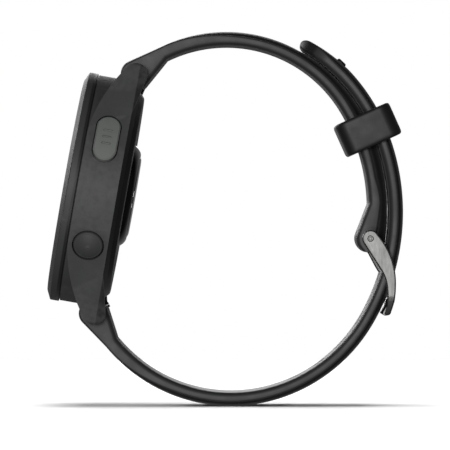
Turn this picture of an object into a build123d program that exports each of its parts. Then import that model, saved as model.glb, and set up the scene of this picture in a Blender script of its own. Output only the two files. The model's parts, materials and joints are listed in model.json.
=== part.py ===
"""GPS running watch with its strap buckled: case, electronics, buttons, spring bars, strap, buckle.

Row frame in millimetres: +X from the display to the buckle, +Y to the 9 o'clock side, +Z up, origin on
the surface under the strap. The case leans back, so it has a plane of its own: local x points to
3 o'clock, local y to 12 o'clock and local z out of the display. A depth is counted behind the display.
"""
from build123d import *
import os
from math import cos, sin, radians

os.makedirs("parts", exist_ok=True)

# ---- case place and overall sizes -----------------------------------------------------------
tilt = 10.0                  # lean of the case from upright
face_x, face_z = -29.67, 41.05   # centre of the display's front
case_radius = 21.55          # flank of the case at 3 o'clock
body_radius = case_radius - 0.25     # round body in front of the lugs
bezel_radius = case_radius - 0.05
cavity_radius = case_radius - 2.95
seam_front, seam_back = 2.42, 2.62   # dark seam between bezel and case, as depths
flank_back = 10.0            # depth where the back bevel starts
flange_front, flange_back = 9.4, 10.75   # back wall of the case
cover_back = 11.6            # depth of the back cover's flat
slack = 0.05                 # all round, between parts that drop into each other
past = 30.0                  # longer than anything a cut goes through

# ---- lens and display -----------------------------------------------------------------------
lens_radius, lens_front, lens_back = case_radius - 2.25, 0.05, 1.15
lens_edge = 0.15             # chamfer round the lens
gasket_thick = 0.2
ledge_radius = lens_radius - 1.5
bezel_chamfer_radial, bezel_chamfer_depth = 1.67, 0.8
neck_radius = case_radius - 0.5      # bezel neck seen in the seam
skirt_outer, skirt_inner, skirt_back = cavity_radius + 1.35, cavity_radius + 0.25, 3.3
panel_radius, panel_thick = ledge_radius - 0.8, 0.95
frame_radius, frame_front, frame_back = cavity_radius - 0.6, 2.9, 3.6
window_hole, pocket_hole, pocket_circle = 9.0, 2.4, 13.2     # lightening holes in the frame
antenna_thick, antenna_height, antenna_gap = 0.3, 1.5, 12.0
board_radius, board_front, board_thick = cavity_radius - 1.2, 3.65, 0.8
can_height, can_corner = 1.0, 0.5
cans = [(-4.6, 3.2, 8.4, 9.0), (4.6, 3.2, 8.4, 9.0), (0, -6.6, 15.0, 7.0)]     # x, y, width, height
battery_width, battery_length, battery_thick, battery_offset = 20.0, 19.6, 3.4, -1.0
battery_corner, battery_gap = 1.5, 0.15
motor_radius, motor_thick, motor_place = 3.5, 2.7, 13.4
beeper_width, beeper_height, beeper_thick, beeper_place = 8.6, 4.0, 1.6, -13.9
barometer_x, barometer_y, barometer_width, barometer_thick = 6.3, 13.4, 2.4, 0.8
port_radius, port_bore, port_height = 0.9, 0.5, 0.7          # the barometer's air port
flex_width, flex_thick, flex_fold, flex_gap = 6.4, 0.15, 3.2, 0.4

# ---- back -----------------------------------------------------------------------------------
cover_radius, cover_crown = case_radius - 2.15, 0.8
crown_edge = 0.3             # small chamfer where the cover turns flat, across
opening_radius = case_radius - 6.55
groove_inner, groove_outer, groove_depth = opening_radius + 0.4, opening_radius + 1.0, 0.4
screw_circle, screw_radius, screw_head, screw_length = opening_radius + 2.2, 0.5, 0.95, 3.2
head_thick, head_sink, drive_radius, screw_boss = 0.4, 0.5, 0.45, 1.5
cover_front = 10.2           # inner face of the back cover
sensor_radius, sensor_seat, sensor_back = 9.5, 8.9, 13.05
window_radius, window_flat, window_front = 7.5, 6.6, 10.95
housing_front, housing_lip = 10.0, 6.4
sensor_board_radius, sensor_board_front, sensor_board_thick = 7.8, 9.25, 0.6
led_width, diode_width, diode_place, led_thick, diode_thick = 1.8, 2.2, 3.6, 0.7, 0.6
socket_width, socket_height, socket_place, socket_corner = 7.0, 3.2, -12.4, 0.8
socket_wall, socket_depth = 0.5, 1.2
contact_pitch, contact_radius, contact_sink, contact_fit = 1.4, 0.35, 0.6, 0.01

# ---- buttons --------------------------------------------------------------------------------
button_depth = 6.35
start_angle, back_angle = 26.8, -28.3            # from 3 o'clock, towards 12 o'clock
light_angle, up_angle, down_angle = 151.5, 180.0, 208.5
button_radius, button_face, button_edge = 2.75, case_radius + 0.9, case_radius + 0.3
button_round = 0.4           # rounded rim of a round button
start_length, start_width, start_face, start_chamfer = 9.0, 4.35, case_radius + 0.75, 0.25
mark_length, mark_width, mark_pitch, mark_depth = 1.7, 0.5, 1.35, 0.32    # three plain engraved dashes
button_travel = 0.5
pocket_floor = case_radius - 1.8
pocket_gap = 0.22
stem_radius, stem_end = 0.97, case_radius - 4.35
bush_outer, bush_inner_end, bush_bore = 1.75, case_radius - 3.4, 0.06
bush_hole_start, bush_hole_end = case_radius - 4.05, case_radius - 1.05
seal_place, seal_major, seal_minor, seal_room = case_radius - 2.6, 1.05, 0.32, 0.45
clip_place, clip_thick, clip_radius = case_radius - 3.8, 0.3, 1.6
groove_radius, groove_gap = 0.7, 0.02    # grooves in a stem for its seal and clip
switch_start, switch_top = case_radius - 7.15, case_radius - 5.35
switch_width, switch_length, plunger_radius = 3.4, 4.4, 0.8

# ---- lugs and spring bars -------------------------------------------------------------------
strap_width = 20.0
lug_reach, lug_depth = case_radius + 0.75, 9.27
lug_radius, lug_shift = 2.18, 0.23       # rounded end of a lug, and how far behind the bar it is centred
lug_outer, lug_corner = strap_width / 2 + 3.0, 1.0       # outer face from the middle, plan corner
lug_crest = (lug_reach - 11.5, lug_reach - 4.0, 4.71)    # where a lug leaves the seam, then a point on it
lug_slope = 31.1             # slope of a lug's front edge where it meets the rounded end
lug_heel = [(lug_reach - 3.1, 10.9), (lug_reach - 7.3, flank_back)]
lug_gap = 0.25               # strap to lug, each side
scoop_radius = 2.95
bar_radius, bar_bore, bar_half = 0.9, 0.5, strap_width / 2 - 0.2
bar_wall_end = 3.0           # solid end of a bar's tube
tip_radius, tip_end = 0.45, strap_width / 2 + 1.3
lever_place, lever_travel = 3.7 - strap_width / 2, 1.15
lever_reach = {"upper": 2.25, "lower": 2.75}
lever_radius, knob_radius, knob_height, lever_inside = 0.3, 0.5, 0.6, 2.0
lever_slot, notch_width, notch_margin = 0.8, 1.9, 1.0
lever_lean = 0.8             # part of a lever's direction that points to the wrist

# ---- strap ----------------------------------------------------------------------------------
strap_thick, wall_height, crown_inset = 2.6, 1.7, 1.1
root_radius = 2.45
upper_start, upper_heading = (-10.73, 64.34), 26.2
upper_bends = [(24.9, 85.8), (35.4, 28.9)]       # radius on the wrist side, angle turned
lower_start, lower_heading = (-20.01, 12.61), -50.7
lower_bends = [(27.3, 69.7), (28.3, 40.9), (38.6, 53.0), (31.9, 38.1)]
hole_width, hole_length, hole_pitch, hole_corner = 2.4, 3.0, 5.6, 0.6
tongue_station = 60.6        # where the tongue crosses the lower strap, along its middle
hole_stations = range(-4, 6)         # holes, counted from the one in use
tip_round = 8.0              # start of the rounded tip, back from its end
stop_place, stop_length, stop_height = 8.2, 2.1, 0.35    # stop bar, back from the strap's tip
stop_sink, stop_corner, stop_clear = 0.4, 0.3, 4.0
shifts = {"upper": (-0.25, 0.35), "lower": (-0.3, -0.25)}    # strap root from the bar, X and Z
flaps = {"upper": (1.5, -1.85), "lower": (2.2, 0.55)}        # lip of the root on the wrist side
flap_radius = 0.45

# ---- buckle and keeper ----------------------------------------------------------------------
pin_reach, pin_out, pin_radius = 6.5, 0.14, 0.55     # from the end of the upper strap's wrist line
arm_inner, arm_outer = strap_width / 2 + 0.35, strap_width / 2 + 1.85    # buckle side plates
arm_boss, bar_overlap = 1.55, 0.2
pin_boss_radius, pin_short = 2.65, 0.05
tongue_width, tongue_thick = 1.7, 1.0
tongue_side_gap = 0.3        # tongue to the strap's slot and to the frame's notch, each side
tongue_slot_drop, tongue_slot_width, tongue_slot_height = 1.6, 8.0, 6.4
keeper_station, keeper_shift = 93.5, 2.0          # along the lower strap, and in to its middle
keeper_height, keeper_length, keeper_wall, keeper_corner = 11.0, 6.3, 1.3, 0.95
keeper_inner_corner = 0.6

# ---- planes ---------------------------------------------------------------------------------
outward = Vector(-cos(radians(tilt)), 0, sin(radians(tilt)))
case = Plane(origin=(face_x, 0, face_z), x_dir=(0, -1, 0), z_dir=outward)
profile = Plane(origin=case.origin, x_dir=case.x_dir, z_dir=case.y_dir)   # x radius, y depth
side = Plane(origin=case.origin, x_dir=case.y_dir, z_dir=(0, 1, 0))       # x to 12 o'clock, y depth
spin = Axis(case.origin, case.z_dir)


def at_depth(depth):
    """Plane across the case at a depth behind the display, looking out of the display."""
    return case.offset(-depth)


def spun(*points):
    """Closed half section of (radius, depth) points, to be turned about the case's axis."""
    with BuildSketch(profile) as half:
        with BuildLine():
            Polyline(*points, close=True)
        make_face()
    return half.sketch


def ring(inner, outer, front, back):
    """Half section of a plain ring, or of a disc when inner is 0."""
    return spun((inner, front), (outer, front), (outer, back), (inner, back))


def box_at(x, y, width, height, front, back):
    """A block inside the case, square to 12 o'clock, between two depths."""
    with BuildPart() as block:
        with BuildSketch(at_depth(back)):
            with Locations((x, y)):
                Rectangle(width, height)
        extrude(amount=back - front)
    return block.part


def radial(angle):
    """Unit direction out of the case's side, from 3 o'clock towards 12 o'clock."""
    return case.x_dir * cos(radians(angle)) + case.y_dir * sin(radians(angle))


def button_plane(angle, reach):
    """Plane across a button's axis, reach mm from the case's axis; local x points to the display."""
    origin = case.origin - case.z_dir * button_depth + radial(angle) * reach
    return Plane(origin=origin, x_dir=case.z_dir, z_dir=radial(angle))


def button_section(angle):
    """Plane that holds a button's axis: x is the radius from the axis, y the reach."""
    origin = case.origin - case.z_dir * button_depth
    return Plane(origin=origin, x_dir=case.z_dir, z_dir=case.z_dir.cross(radial(angle)))


def button_turned(angle, *points):
    """Solid turned about a button's axis from (radius, reach) points."""
    with BuildPart() as turned:
        with BuildSketch(button_section(angle)):
            with BuildLine():
                Polyline(*points, close=True)
            make_face()
        revolve(axis=Axis(button_plane(angle, 0).origin, radial(angle)))
    return turned.part


def rod(point, radius, start, end):
    """Round rod along Y through a point of the XZ plane."""
    with BuildPart() as bar:
        with BuildSketch(Plane(origin=(point.X, start, point.Z), z_dir=(0, 1, 0))):
            Circle(radius)
        extrude(amount=end - start)
    return bar.part


def finish(part, name):
    """Label a finished piece and write it."""
    part.label = name
    export_step(part, f"parts/{name}.step")


upper_bar_point = case.from_local_coords(Vector(0, lug_reach, -lug_depth))
lower_bar_point = case.from_local_coords(Vector(0, -lug_reach, -lug_depth))
ends = {"upper": upper_bar_point, "lower": lower_bar_point}
button_angles = {
    "start": start_angle, "back": back_angle, "light": light_angle, "up": up_angle, "down": down_angle,
}
screw_angles = [45, 135, 225, 315]

# ---- case shell -----------------------------------------------------------------------------
with BuildSketch(case) as plan:
    Circle(case_radius)
    with GridLocations(2 * (lug_outer - lug_corner - 0.1), 2 * (lug_reach + lug_corner + 0.2), 2, 2):
        Circle(lug_corner)
    make_hull()

with BuildSketch(side) as lug_side:
    with BuildLine():
        front = Line((0, seam_back), (lug_crest[0], seam_back))
        tip_depth = lug_depth + lug_shift
        touch = (lug_reach + lug_radius * sin(radians(lug_slope)),
                 tip_depth - lug_radius * cos(radians(lug_slope)))
        sweep_up = ThreePointArc(front @ 1, lug_crest[1:], touch)
        end = ThreePointArc(sweep_up @ 1, (lug_reach + lug_radius, tip_depth),
                            (lug_reach, tip_depth + lug_radius))
        Polyline(end @ 1, *lug_heel, (0, flank_back), (0, seam_back))
    make_face()
    mirror(about=Plane.YZ)

with BuildPart() as lugs:
    extrude(plan.sketch, amount=-past)
    extrude(lug_side.sketch, amount=past, both=True, mode=Mode.INTERSECT)
    with BuildSketch(case):
        Rectangle(strap_width + 2 * lug_gap, 3 * past)
    extrude(amount=-past, mode=Mode.SUBTRACT)

with BuildPart() as case_shell:
    revolve(spun((0, seam_back), (body_radius, seam_back), (body_radius, flank_back),
                 (cover_radius + 0.2, flange_back), (0, flange_back)), axis=spin)
    add(lugs.part)
    revolve(ring(0, cavity_radius, 0, flange_front), axis=spin, mode=Mode.SUBTRACT)
    revolve(ring(0, skirt_outer + slack, 0, skirt_back + slack), axis=spin, mode=Mode.SUBTRACT)
    revolve(ring(0, opening_radius, flange_front - 1, cover_back), axis=spin, mode=Mode.SUBTRACT)
    for point in ends.values():
        add(rod(point, scoop_radius, -strap_width / 2 - lug_gap, strap_width / 2 + lug_gap),
            mode=Mode.SUBTRACT)
        add(rod(point, tip_radius + slack, -tip_end - slack, tip_end + slack), mode=Mode.SUBTRACT)
    with BuildSketch(at_depth(flange_back)):
        with PolarLocations(screw_circle, len(screw_angles), start_angle=screw_angles[0]):
            Circle(screw_boss)
    extrude(amount=screw_length + 0.35)
    revolve(ring(groove_inner - slack, groove_outer + slack, flange_back - groove_depth - slack,
                 cover_back), axis=spin, mode=Mode.SUBTRACT)
    with BuildSketch(at_depth(cover_back)):
        with PolarLocations(screw_circle, len(screw_angles), start_angle=screw_angles[0]):
            Circle(screw_radius)
    extrude(amount=screw_length + 0.2, mode=Mode.SUBTRACT)
    for name, angle in button_angles.items():
        with BuildSketch(button_plane(angle, pocket_floor)):
            if name == "start":
                SlotOverall(start_length + 2 * pocket_gap, start_width + 2 * pocket_gap, rotation=90)
            else:
                Circle(button_radius + pocket_gap)
        extrude(amount=past, mode=Mode.SUBTRACT)
        add(button_turned(angle, (0, bush_hole_start), (bush_outer, bush_hole_start),
                          (bush_outer, bush_hole_end), (0, bush_hole_end)), mode=Mode.SUBTRACT)
finish(case_shell.part, "case_shell")

# ---- bezel, lens, display -------------------------------------------------------------------
with BuildPart() as bezel:
    ledge_front = lens_back + gasket_thick
    revolve(spun((lens_radius + slack, 0), (bezel_radius - bezel_chamfer_radial, 0),
                 (bezel_radius, bezel_chamfer_depth), (bezel_radius, seam_front),
                 (neck_radius, seam_front), (neck_radius, seam_back), (skirt_outer, seam_back),
                 (skirt_outer, skirt_back), (skirt_inner, skirt_back), (skirt_inner, seam_front),
                 (ledge_radius, seam_front), (ledge_radius, ledge_front),
                 (lens_radius + slack, ledge_front)), axis=spin)
finish(bezel.part, "bezel")

with BuildPart() as lens:
    revolve(ring(0, lens_radius, lens_front, lens_back), axis=spin)
    chamfer(lens.edges().sort_by(Axis(case.origin, case.z_dir))[-1], lens_edge)
finish(lens.part, "lens")

with BuildPart() as lens_gasket:
    revolve(ring(ledge_radius + 0.1, lens_radius - 0.1, lens_back, lens_back + gasket_thick), axis=spin)
finish(lens_gasket.part, "lens_gasket")

panel_back = lens_back + panel_thick
with BuildPart() as display_panel:
    revolve(ring(0, panel_radius, lens_back, panel_back), axis=spin)
finish(display_panel.part, "display_panel")

flex_edge = panel_radius + 0.35
with BuildPart() as display_flex:
    add(box_at(0, -flex_edge, flex_width, flex_thick, panel_back, board_front + board_thick + flex_gap))
    add(box_at(0, -flex_edge + flex_fold / 2, flex_width, flex_fold, panel_back, panel_back + flex_thick))
finish(display_flex.part, "display_flex")

with BuildPart() as internal_frame:
    revolve(ring(0, frame_radius, frame_front, frame_back), axis=spin)
    with BuildSketch(at_depth(frame_back)):
        Circle(window_hole)
        with PolarLocations(pocket_circle, 6, start_angle=30):
            Circle(pocket_hole)
        with Locations((0, -frame_radius)):
            Rectangle(flex_width + 2 * flex_gap, 2.6)
    extrude(amount=frame_back - frame_front, mode=Mode.SUBTRACT)
finish(internal_frame.part, "internal_frame")

with BuildPart() as gps_antenna:
    revolve(ring(frame_radius + slack, frame_radius + slack + antenna_thick, frame_front,
                 frame_front + antenna_height), axis=spin)
    with BuildSketch(at_depth(frame_front + antenna_height)):
        with Locations((0, -frame_radius)):
            Rectangle(antenna_gap, antenna_gap / 2)
    extrude(amount=antenna_height, mode=Mode.SUBTRACT)
finish(gps_antenna.part, "gps_antenna")

board_back = board_front + board_thick
with BuildPart() as main_board:
    revolve(ring(0, board_radius, board_front, board_back), axis=spin)
    with BuildSketch(at_depth(board_back)):
        with Locations((0, -board_radius)):
            Rectangle(flex_width + 2 * flex_gap, 1.4)
    extrude(amount=board_thick, mode=Mode.SUBTRACT)
finish(main_board.part, "main_board")

with BuildPart() as shield_cans:
    for x, y, width, height in cans:
        with BuildSketch(at_depth(board_back + can_height)):
            with Locations((x, y)):
                RectangleRounded(width, height, can_corner)
        extrude(amount=can_height)
finish(shield_cans.part, "shield_cans")

battery_front = board_back + can_height + battery_gap
with BuildPart() as battery:
    with BuildSketch(at_depth(battery_front + battery_thick)):
        with Locations((0, battery_offset)):
            RectangleRounded(battery_width, battery_length, battery_corner)
    extrude(amount=battery_thick)
finish(battery.part, "battery")

with BuildPart() as vibration_motor:
    with BuildSketch(at_depth(board_back + motor_thick)):
        with Locations((0, motor_place)):
            Circle(motor_radius)
    extrude(amount=motor_thick)
finish(vibration_motor.part, "vibration_motor")

with BuildPart() as beeper:
    with BuildSketch(at_depth(board_back + beeper_thick)):
        with Locations((0, beeper_place)):
            RectangleRounded(beeper_width, beeper_height, can_corner)
    extrude(amount=beeper_thick)
finish(beeper.part, "beeper")

with BuildPart() as barometer:
    add(box_at(barometer_x, barometer_y, barometer_width, barometer_width, board_back,
               board_back + barometer_thick))
    with BuildSketch(at_depth(board_back + barometer_thick + port_height)):
        with Locations((barometer_x, barometer_y)):
            Circle(port_radius)
            Circle(port_bore, mode=Mode.SUBTRACT)
    extrude(amount=port_height)
finish(barometer.part, "barometer")

# ---- back cover and sensor ------------------------------------------------------------------
with BuildPart() as back_cover:
    revolve(spun((0, cover_front), (opening_radius - slack, cover_front),
                 (opening_radius - slack, flange_back), (cover_radius, flange_back),
                 (cover_radius - cover_crown, cover_back - 0.1),
                 (cover_radius - cover_crown - crown_edge, cover_back), (0, cover_back)), axis=spin)
    revolve(ring(0, sensor_seat + slack, 0, past), axis=spin, mode=Mode.SUBTRACT)
    with BuildSketch(at_depth(cover_back)):
        with Locations((0, socket_place)):
            RectangleRounded(socket_width + 2 * slack, socket_height + 2 * slack, socket_corner)
    extrude(amount=past, mode=Mode.SUBTRACT)
    with BuildSketch(at_depth(cover_back)):
        with PolarLocations(screw_circle, len(screw_angles), start_angle=screw_angles[0]):
            Circle(screw_radius + slack)
    extrude(amount=past, mode=Mode.SUBTRACT)
    with BuildSketch(at_depth(cover_back)):
        with PolarLocations(screw_circle, len(screw_angles), start_angle=screw_angles[0]):
            Circle(screw_head + slack)
    extrude(amount=head_sink, mode=Mode.SUBTRACT)
finish(back_cover.part, "back_cover")

with BuildPart() as back_gasket:
    revolve(ring(groove_inner, groove_outer, flange_back - groove_depth, flange_back), axis=spin)
finish(back_gasket.part, "back_gasket")

with BuildPart() as back_screws:
    with BuildSketch(at_depth(cover_back - head_sink)):
        with PolarLocations(screw_circle, len(screw_angles), start_angle=screw_angles[0]):
            Circle(screw_radius)
    extrude(amount=screw_length - head_sink)
    with BuildSketch(at_depth(cover_back - head_sink)):
        with PolarLocations(screw_circle, len(screw_angles), start_angle=screw_angles[0]):
            Circle(screw_head)
            RegularPolygon(drive_radius, 6, mode=Mode.SUBTRACT)
    extrude(amount=-head_thick)
finish(back_screws.part, "back_screws")

with BuildPart() as sensor_housing:
    with BuildSketch(profile):
        with BuildLine():
            start = Polyline((window_radius + slack, window_front), (housing_lip, window_front),
                             (housing_lip, housing_front), (sensor_seat, housing_front),
                             (sensor_seat, cover_back), (sensor_radius, cover_back))
            side_arc = ThreePointArc(start @ 1, (8.95, 12.3), (8.0, sensor_back - 0.25))
            Polyline(side_arc @ 1, (window_radius + slack, sensor_back - 0.25), start @ 0)
        make_face()
    revolve(axis=spin)
finish(sensor_housing.part, "sensor_housing")

with BuildPart() as sensor_window:
    with BuildSketch(profile):
        with BuildLine():
            start = Polyline((0, sensor_back), (0, window_front), (window_radius, window_front),
                             (window_radius, sensor_back - 0.2))
            ThreePointArc(start @ 1, (window_radius - 0.35, sensor_back - 0.05), (window_flat, sensor_back))
            Line((window_flat, sensor_back), start @ 0)
        make_face()
    revolve(axis=spin)
finish(sensor_window.part, "sensor_window")

sensor_board_back = sensor_board_front + sensor_board_thick
with BuildPart() as sensor_board:
    revolve(ring(0, sensor_board_radius, sensor_board_front, sensor_board_back), axis=spin)
finish(sensor_board.part, "sensor_board")

with BuildPart() as sensor_leds:
    add(box_at(0, 0, led_width, led_width, sensor_board_back, sensor_board_back + led_thick))
    for x, y in [(-diode_place, 0), (diode_place, 0), (0, -diode_place), (0, diode_place)]:
        add(box_at(x, y, diode_width, diode_width, sensor_board_back, sensor_board_back + diode_thick))
finish(sensor_leds.part, "sensor_leds")

with BuildPart() as charge_socket:
    with BuildSketch(at_depth(cover_back - slack)):
        with Locations((0, socket_place)):
            RectangleRounded(socket_width, socket_height, socket_corner)
    extrude(amount=cover_back - slack - flange_front)
    with BuildSketch(at_depth(cover_back)):
        with Locations((0, socket_place)):
            RectangleRounded(socket_width - 2 * socket_wall, socket_height - 2 * socket_wall, socket_wall)
    extrude(amount=socket_depth, mode=Mode.SUBTRACT)
    with BuildSketch(at_depth(cover_back)):
        with Locations((0, socket_place)):
            with GridLocations(contact_pitch, 1, 4, 1):
                Circle(contact_radius)
    extrude(amount=past, mode=Mode.SUBTRACT)
finish(charge_socket.part, "charge_socket")

with BuildPart() as charge_contacts:
    with BuildSketch(at_depth(cover_back - contact_sink)):
        with Locations((0, socket_place)):
            with GridLocations(contact_pitch, 1, 4, 1):
                Circle(contact_radius - contact_fit)
    extrude(amount=cover_back - contact_sink - flange_front)
finish(charge_contacts.part, "charge_contacts")

# ---- buttons --------------------------------------------------------------------------------
cap_back = pocket_floor + button_travel + slack
stem_points = [(0, stem_end), (stem_radius, stem_end)]
for low, high in [(clip_place, clip_place + clip_thick),
                  (seal_place - seal_minor, seal_place + seal_minor)]:
    stem_points += [(stem_radius, low - groove_gap), (groove_radius, low - groove_gap),
                    (groove_radius, high + groove_gap), (stem_radius, high + groove_gap)]
stem_points.append((stem_radius, cap_back))


def round_button(angle):
    """Domed round button with its stem."""
    with BuildPart() as button:
        with BuildSketch(button_section(angle)):
            with BuildLine():
                edge = Polyline((0, button_face), *stem_points, (button_radius, cap_back),
                                (button_radius, button_edge - button_round))
                rim = 0.3 * button_round
                corner = ThreePointArc(edge @ 1, (button_radius - rim, button_edge - rim),
                                       (button_radius - button_round, button_edge))
                # a dome centred on the axis: its height at half its width follows from its radius
                reach = button_radius - button_round
                dome = (reach**2 + (button_face - button_edge) ** 2) / (2 * (button_face - button_edge))
                ThreePointArc(corner @ 1, (reach / 2, button_face - dome + (dome**2 - reach**2 / 4) ** 0.5),
                              edge @ 0)
            make_face()
        revolve(axis=Axis(button_plane(angle, 0).origin, radial(angle)))
    return button.part


def start_button_part(angle):
    """Oblong start button whose face follows the case, with its stem and an engraved mark."""
    with BuildPart() as face:
        with BuildSketch(button_plane(angle, cap_back)):
            SlotOverall(start_length, start_width, rotation=90)
        extrude(amount=start_width)
        with BuildSketch(at_depth(cover_back)):
            Circle(start_face)
        extrude(amount=cover_back, mode=Mode.INTERSECT)
        outer_edges = face.edges().group_by(Axis(button_plane(angle, 0).origin, radial(angle)))[-1]
        chamfer(outer_edges, start_chamfer)
        with BuildSketch(button_plane(angle, start_face - mark_depth)):
            with GridLocations(0, mark_pitch, 1, 3):
                SlotOverall(mark_length, mark_width)
        extrude(amount=start_width, mode=Mode.SUBTRACT)
    with BuildPart() as button:
        add(button_turned(angle, *stem_points, (0, cap_back)))
        add(face.part)
    return button.part


for name, angle in button_angles.items():
    part = start_button_part(angle) if name == "start" else round_button(angle)
    finish(part, f"{name}_button")
    with BuildPart() as seal:
        with Locations(Location(button_plane(angle, seal_place))):
            Torus(seal_major, seal_minor)
    finish(seal.part, f"{name}_button_seal")
    clip_back = clip_place + clip_thick
    clip_bore = groove_radius + groove_gap
    clip = button_turned(angle, (clip_bore, clip_place), (clip_radius, clip_place), (clip_radius, clip_back),
                         (clip_bore, clip_back))
    finish(clip, f"{name}_button_clip")

with BuildPart() as button_bushes:
    for angle in button_angles.values():
        seal_bore = seal_major + seal_minor + slack
        add(button_turned(angle, (seal_bore, bush_inner_end), (bush_outer, bush_inner_end),
                          (bush_outer, pocket_floor), (stem_radius + bush_bore, pocket_floor),
                          (stem_radius + bush_bore, seal_place + seal_room),
                          (seal_bore, seal_place + seal_room)))
finish(button_bushes.part, "button_bushes")

with BuildPart() as tactile_switches:
    for angle in button_angles.values():
        with BuildSketch(button_plane(angle, switch_start)):
            Rectangle(switch_width, switch_length)
        extrude(amount=switch_top - switch_start)
        with BuildSketch(button_plane(angle, switch_top)):
            Circle(plunger_radius)
        extrude(amount=stem_end - button_travel - slack - switch_top)
finish(tactile_switches.part, "tactile_switches")

# ---- spring bars ----------------------------------------------------------------------------
lever_side = {
    name: case.z_dir * -lever_lean - case.y_dir * (turn * (1 - lever_lean**2) ** 0.5)
    for name, turn in [("upper", 1), ("lower", -1)]
}

for name, point in ends.items():
    lever_plane = Plane(origin=(point.X, lever_place, point.Z), x_dir=(0, 1, 0), z_dir=lever_side[name])
    with BuildPart() as tube:
        add(rod(point, bar_radius, -bar_half, bar_half))
        add(rod(point, tip_radius, bar_half, tip_end))
        add(rod(point, bar_bore, -bar_half, bar_half - bar_wall_end), mode=Mode.SUBTRACT)
        with BuildSketch(lever_plane):
            with Locations((lever_travel / 2, 0)):
                SlotOverall(lever_travel + lever_slot + 0.2, lever_slot)
        extrude(amount=2 * bar_radius, mode=Mode.SUBTRACT)
    finish(tube.part, f"{name}_bar_tube")
    with BuildPart() as lever:
        add(rod(point, tip_radius, -tip_end, lever_place + lever_inside))
        with BuildSketch(lever_plane):
            Circle(lever_radius)
        extrude(amount=lever_reach[name])
        with BuildSketch(lever_plane.offset(lever_reach[name] - 0.1)):
            Circle(knob_radius)
        extrude(amount=knob_height)
    finish(lever.part, f"{name}_bar_lever")


# ---- strap ----------------------------------------------------------------------------------
def band(start, heading, bends, turn, low, high):
    """Side outline of a strap between two lines that run low and high mm outside its wrist line.

    turn is -1 for a strap that bends clockwise and 1 for one that bends the other way.
    """
    with BuildSketch(Plane.XZ) as outline:
        with BuildLine():
            corners = []
            for rise in (low, high):
                away = radians(heading - turn * 90)
                point = Vector(start[0] + rise * cos(away), start[1] + rise * sin(away))
                corners.append(point)
                angle = heading
                for radius, swing in bends:
                    arc = JernArc(point, (cos(radians(angle)), sin(radians(angle))), radius + rise,
                                  turn * swing)
                    point = arc @ 1
                    angle += turn * swing
                corners.append(point)
            Line(corners[0], corners[2])
            Line(corners[1], corners[3])
        make_face()
    return outline.sketch


def root(point, name, start, heading, turn):
    """Side outline of the strap's root, from the spring bar to the full strap."""
    away = radians(heading - turn * 90)
    far = (start[0] + strap_thick * cos(away), start[1] + strap_thick * sin(away))
    with BuildSketch(Plane.XZ) as outline:
        with BuildLine():
            Line(start, far)
        with Locations((point.X + shifts[name][0], point.Z + shifts[name][1])):
            Circle(root_radius)
        with Locations((point.X + flaps[name][0], point.Z + flaps[name][1])):
            Circle(flap_radius)
        make_hull()
    return outline.sketch


half_width = strap_width / 2
crown_half = half_width - crown_inset


def lever_notch(name, point):
    """Pocket in a strap's root that leaves the quick-release lever room to travel."""
    place = Plane(origin=(point.X, lever_place + lever_travel / 2, point.Z), x_dir=(0, 1, 0),
                  z_dir=lever_side[name])
    with BuildPart() as notch:
        with BuildSketch(place):
            Rectangle(lever_travel + 2 * notch_margin, notch_width)
        extrude(amount=past / 5)
    return notch.part


def path(start, heading, bends, turn, rise):
    """Line that runs rise mm outside a strap's wrist line, as a wire in the XZ plane."""
    with BuildLine() as line:
        away = radians(heading - turn * 90)
        point = Vector(start[0] + rise * cos(away), start[1] + rise * sin(away))
        angle = heading
        for radius, swing in bends:
            arc = JernArc(point, (cos(radians(angle)), sin(radians(angle))), radius + rise, turn * swing)
            point = arc @ 1
            angle += turn * swing
    return line.wire().moved(Plane.XZ.location)


upper_band = (upper_start, upper_heading, upper_bends, -1)
lower_band = (lower_start, lower_heading, lower_bends, 1)
upper_end = path(*upper_band, 0) @ 1
upper_end_outer = path(*upper_band, strap_thick) @ 1
upper_run = path(*upper_band, 0) % 1
pin_point = upper_end + upper_run * pin_reach + (upper_end_outer - upper_end).normalized() * pin_out
buckle = Plane(origin=pin_point, x_dir=(1, 0, 0), z_dir=(0, -1, 0))    # the pin's end view

with BuildSketch(Plane.XZ) as pin_boss:
    with BuildLine():
        Line((upper_end.X, upper_end.Z), (upper_end_outer.X, upper_end_outer.Z))
    with Locations((pin_point.X, pin_point.Z)):
        Circle(pin_boss_radius)
    make_hull()

# the tongue runs from the pin, through the lower strap, and onto the buckle's bar
tongue_line = [(-0.55, -1.1), (1.45, -4.9), (2.1, -6.0), (4.1, -8.0), (4.4, -10.8), (4.05, -12.7)]
crossing_start, crossing_end = [buckle.from_local_coords(Vector(*spot)) for spot in tongue_line[2:4]]
crossing_plane = Plane(origin=(crossing_start + crossing_end) / 2, x_dir=(0, 1, 0),
                       z_dir=crossing_end - crossing_start)

with BuildPart() as strap_upper:
    extrude(band(*upper_band, 0, wall_height), amount=half_width, both=True)
    extrude(band(*upper_band, wall_height, strap_thick), amount=crown_half, both=True)
    extrude(root(upper_bar_point, "upper", upper_start, upper_heading, -1), amount=half_width,
            both=True)
    extrude(pin_boss.sketch, amount=half_width, both=True)
    add(rod(upper_bar_point, bar_radius + slack, -half_width - 1, half_width + 1), mode=Mode.SUBTRACT)
    add(lever_notch("upper", upper_bar_point), mode=Mode.SUBTRACT)
    add(rod(pin_point, pin_radius + slack, -half_width - 1, half_width + 1), mode=Mode.SUBTRACT)
    # slot for the tongue in the boss around the pin
    with BuildSketch(Plane.XZ):
        with Locations((pin_point.X, pin_point.Z - tongue_slot_drop)):
            Rectangle(tongue_slot_width, tongue_slot_height)
    extrude(amount=tongue_width / 2 + tongue_side_gap, both=True, mode=Mode.SUBTRACT)
finish(strap_upper.part, "strap_upper")

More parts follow.
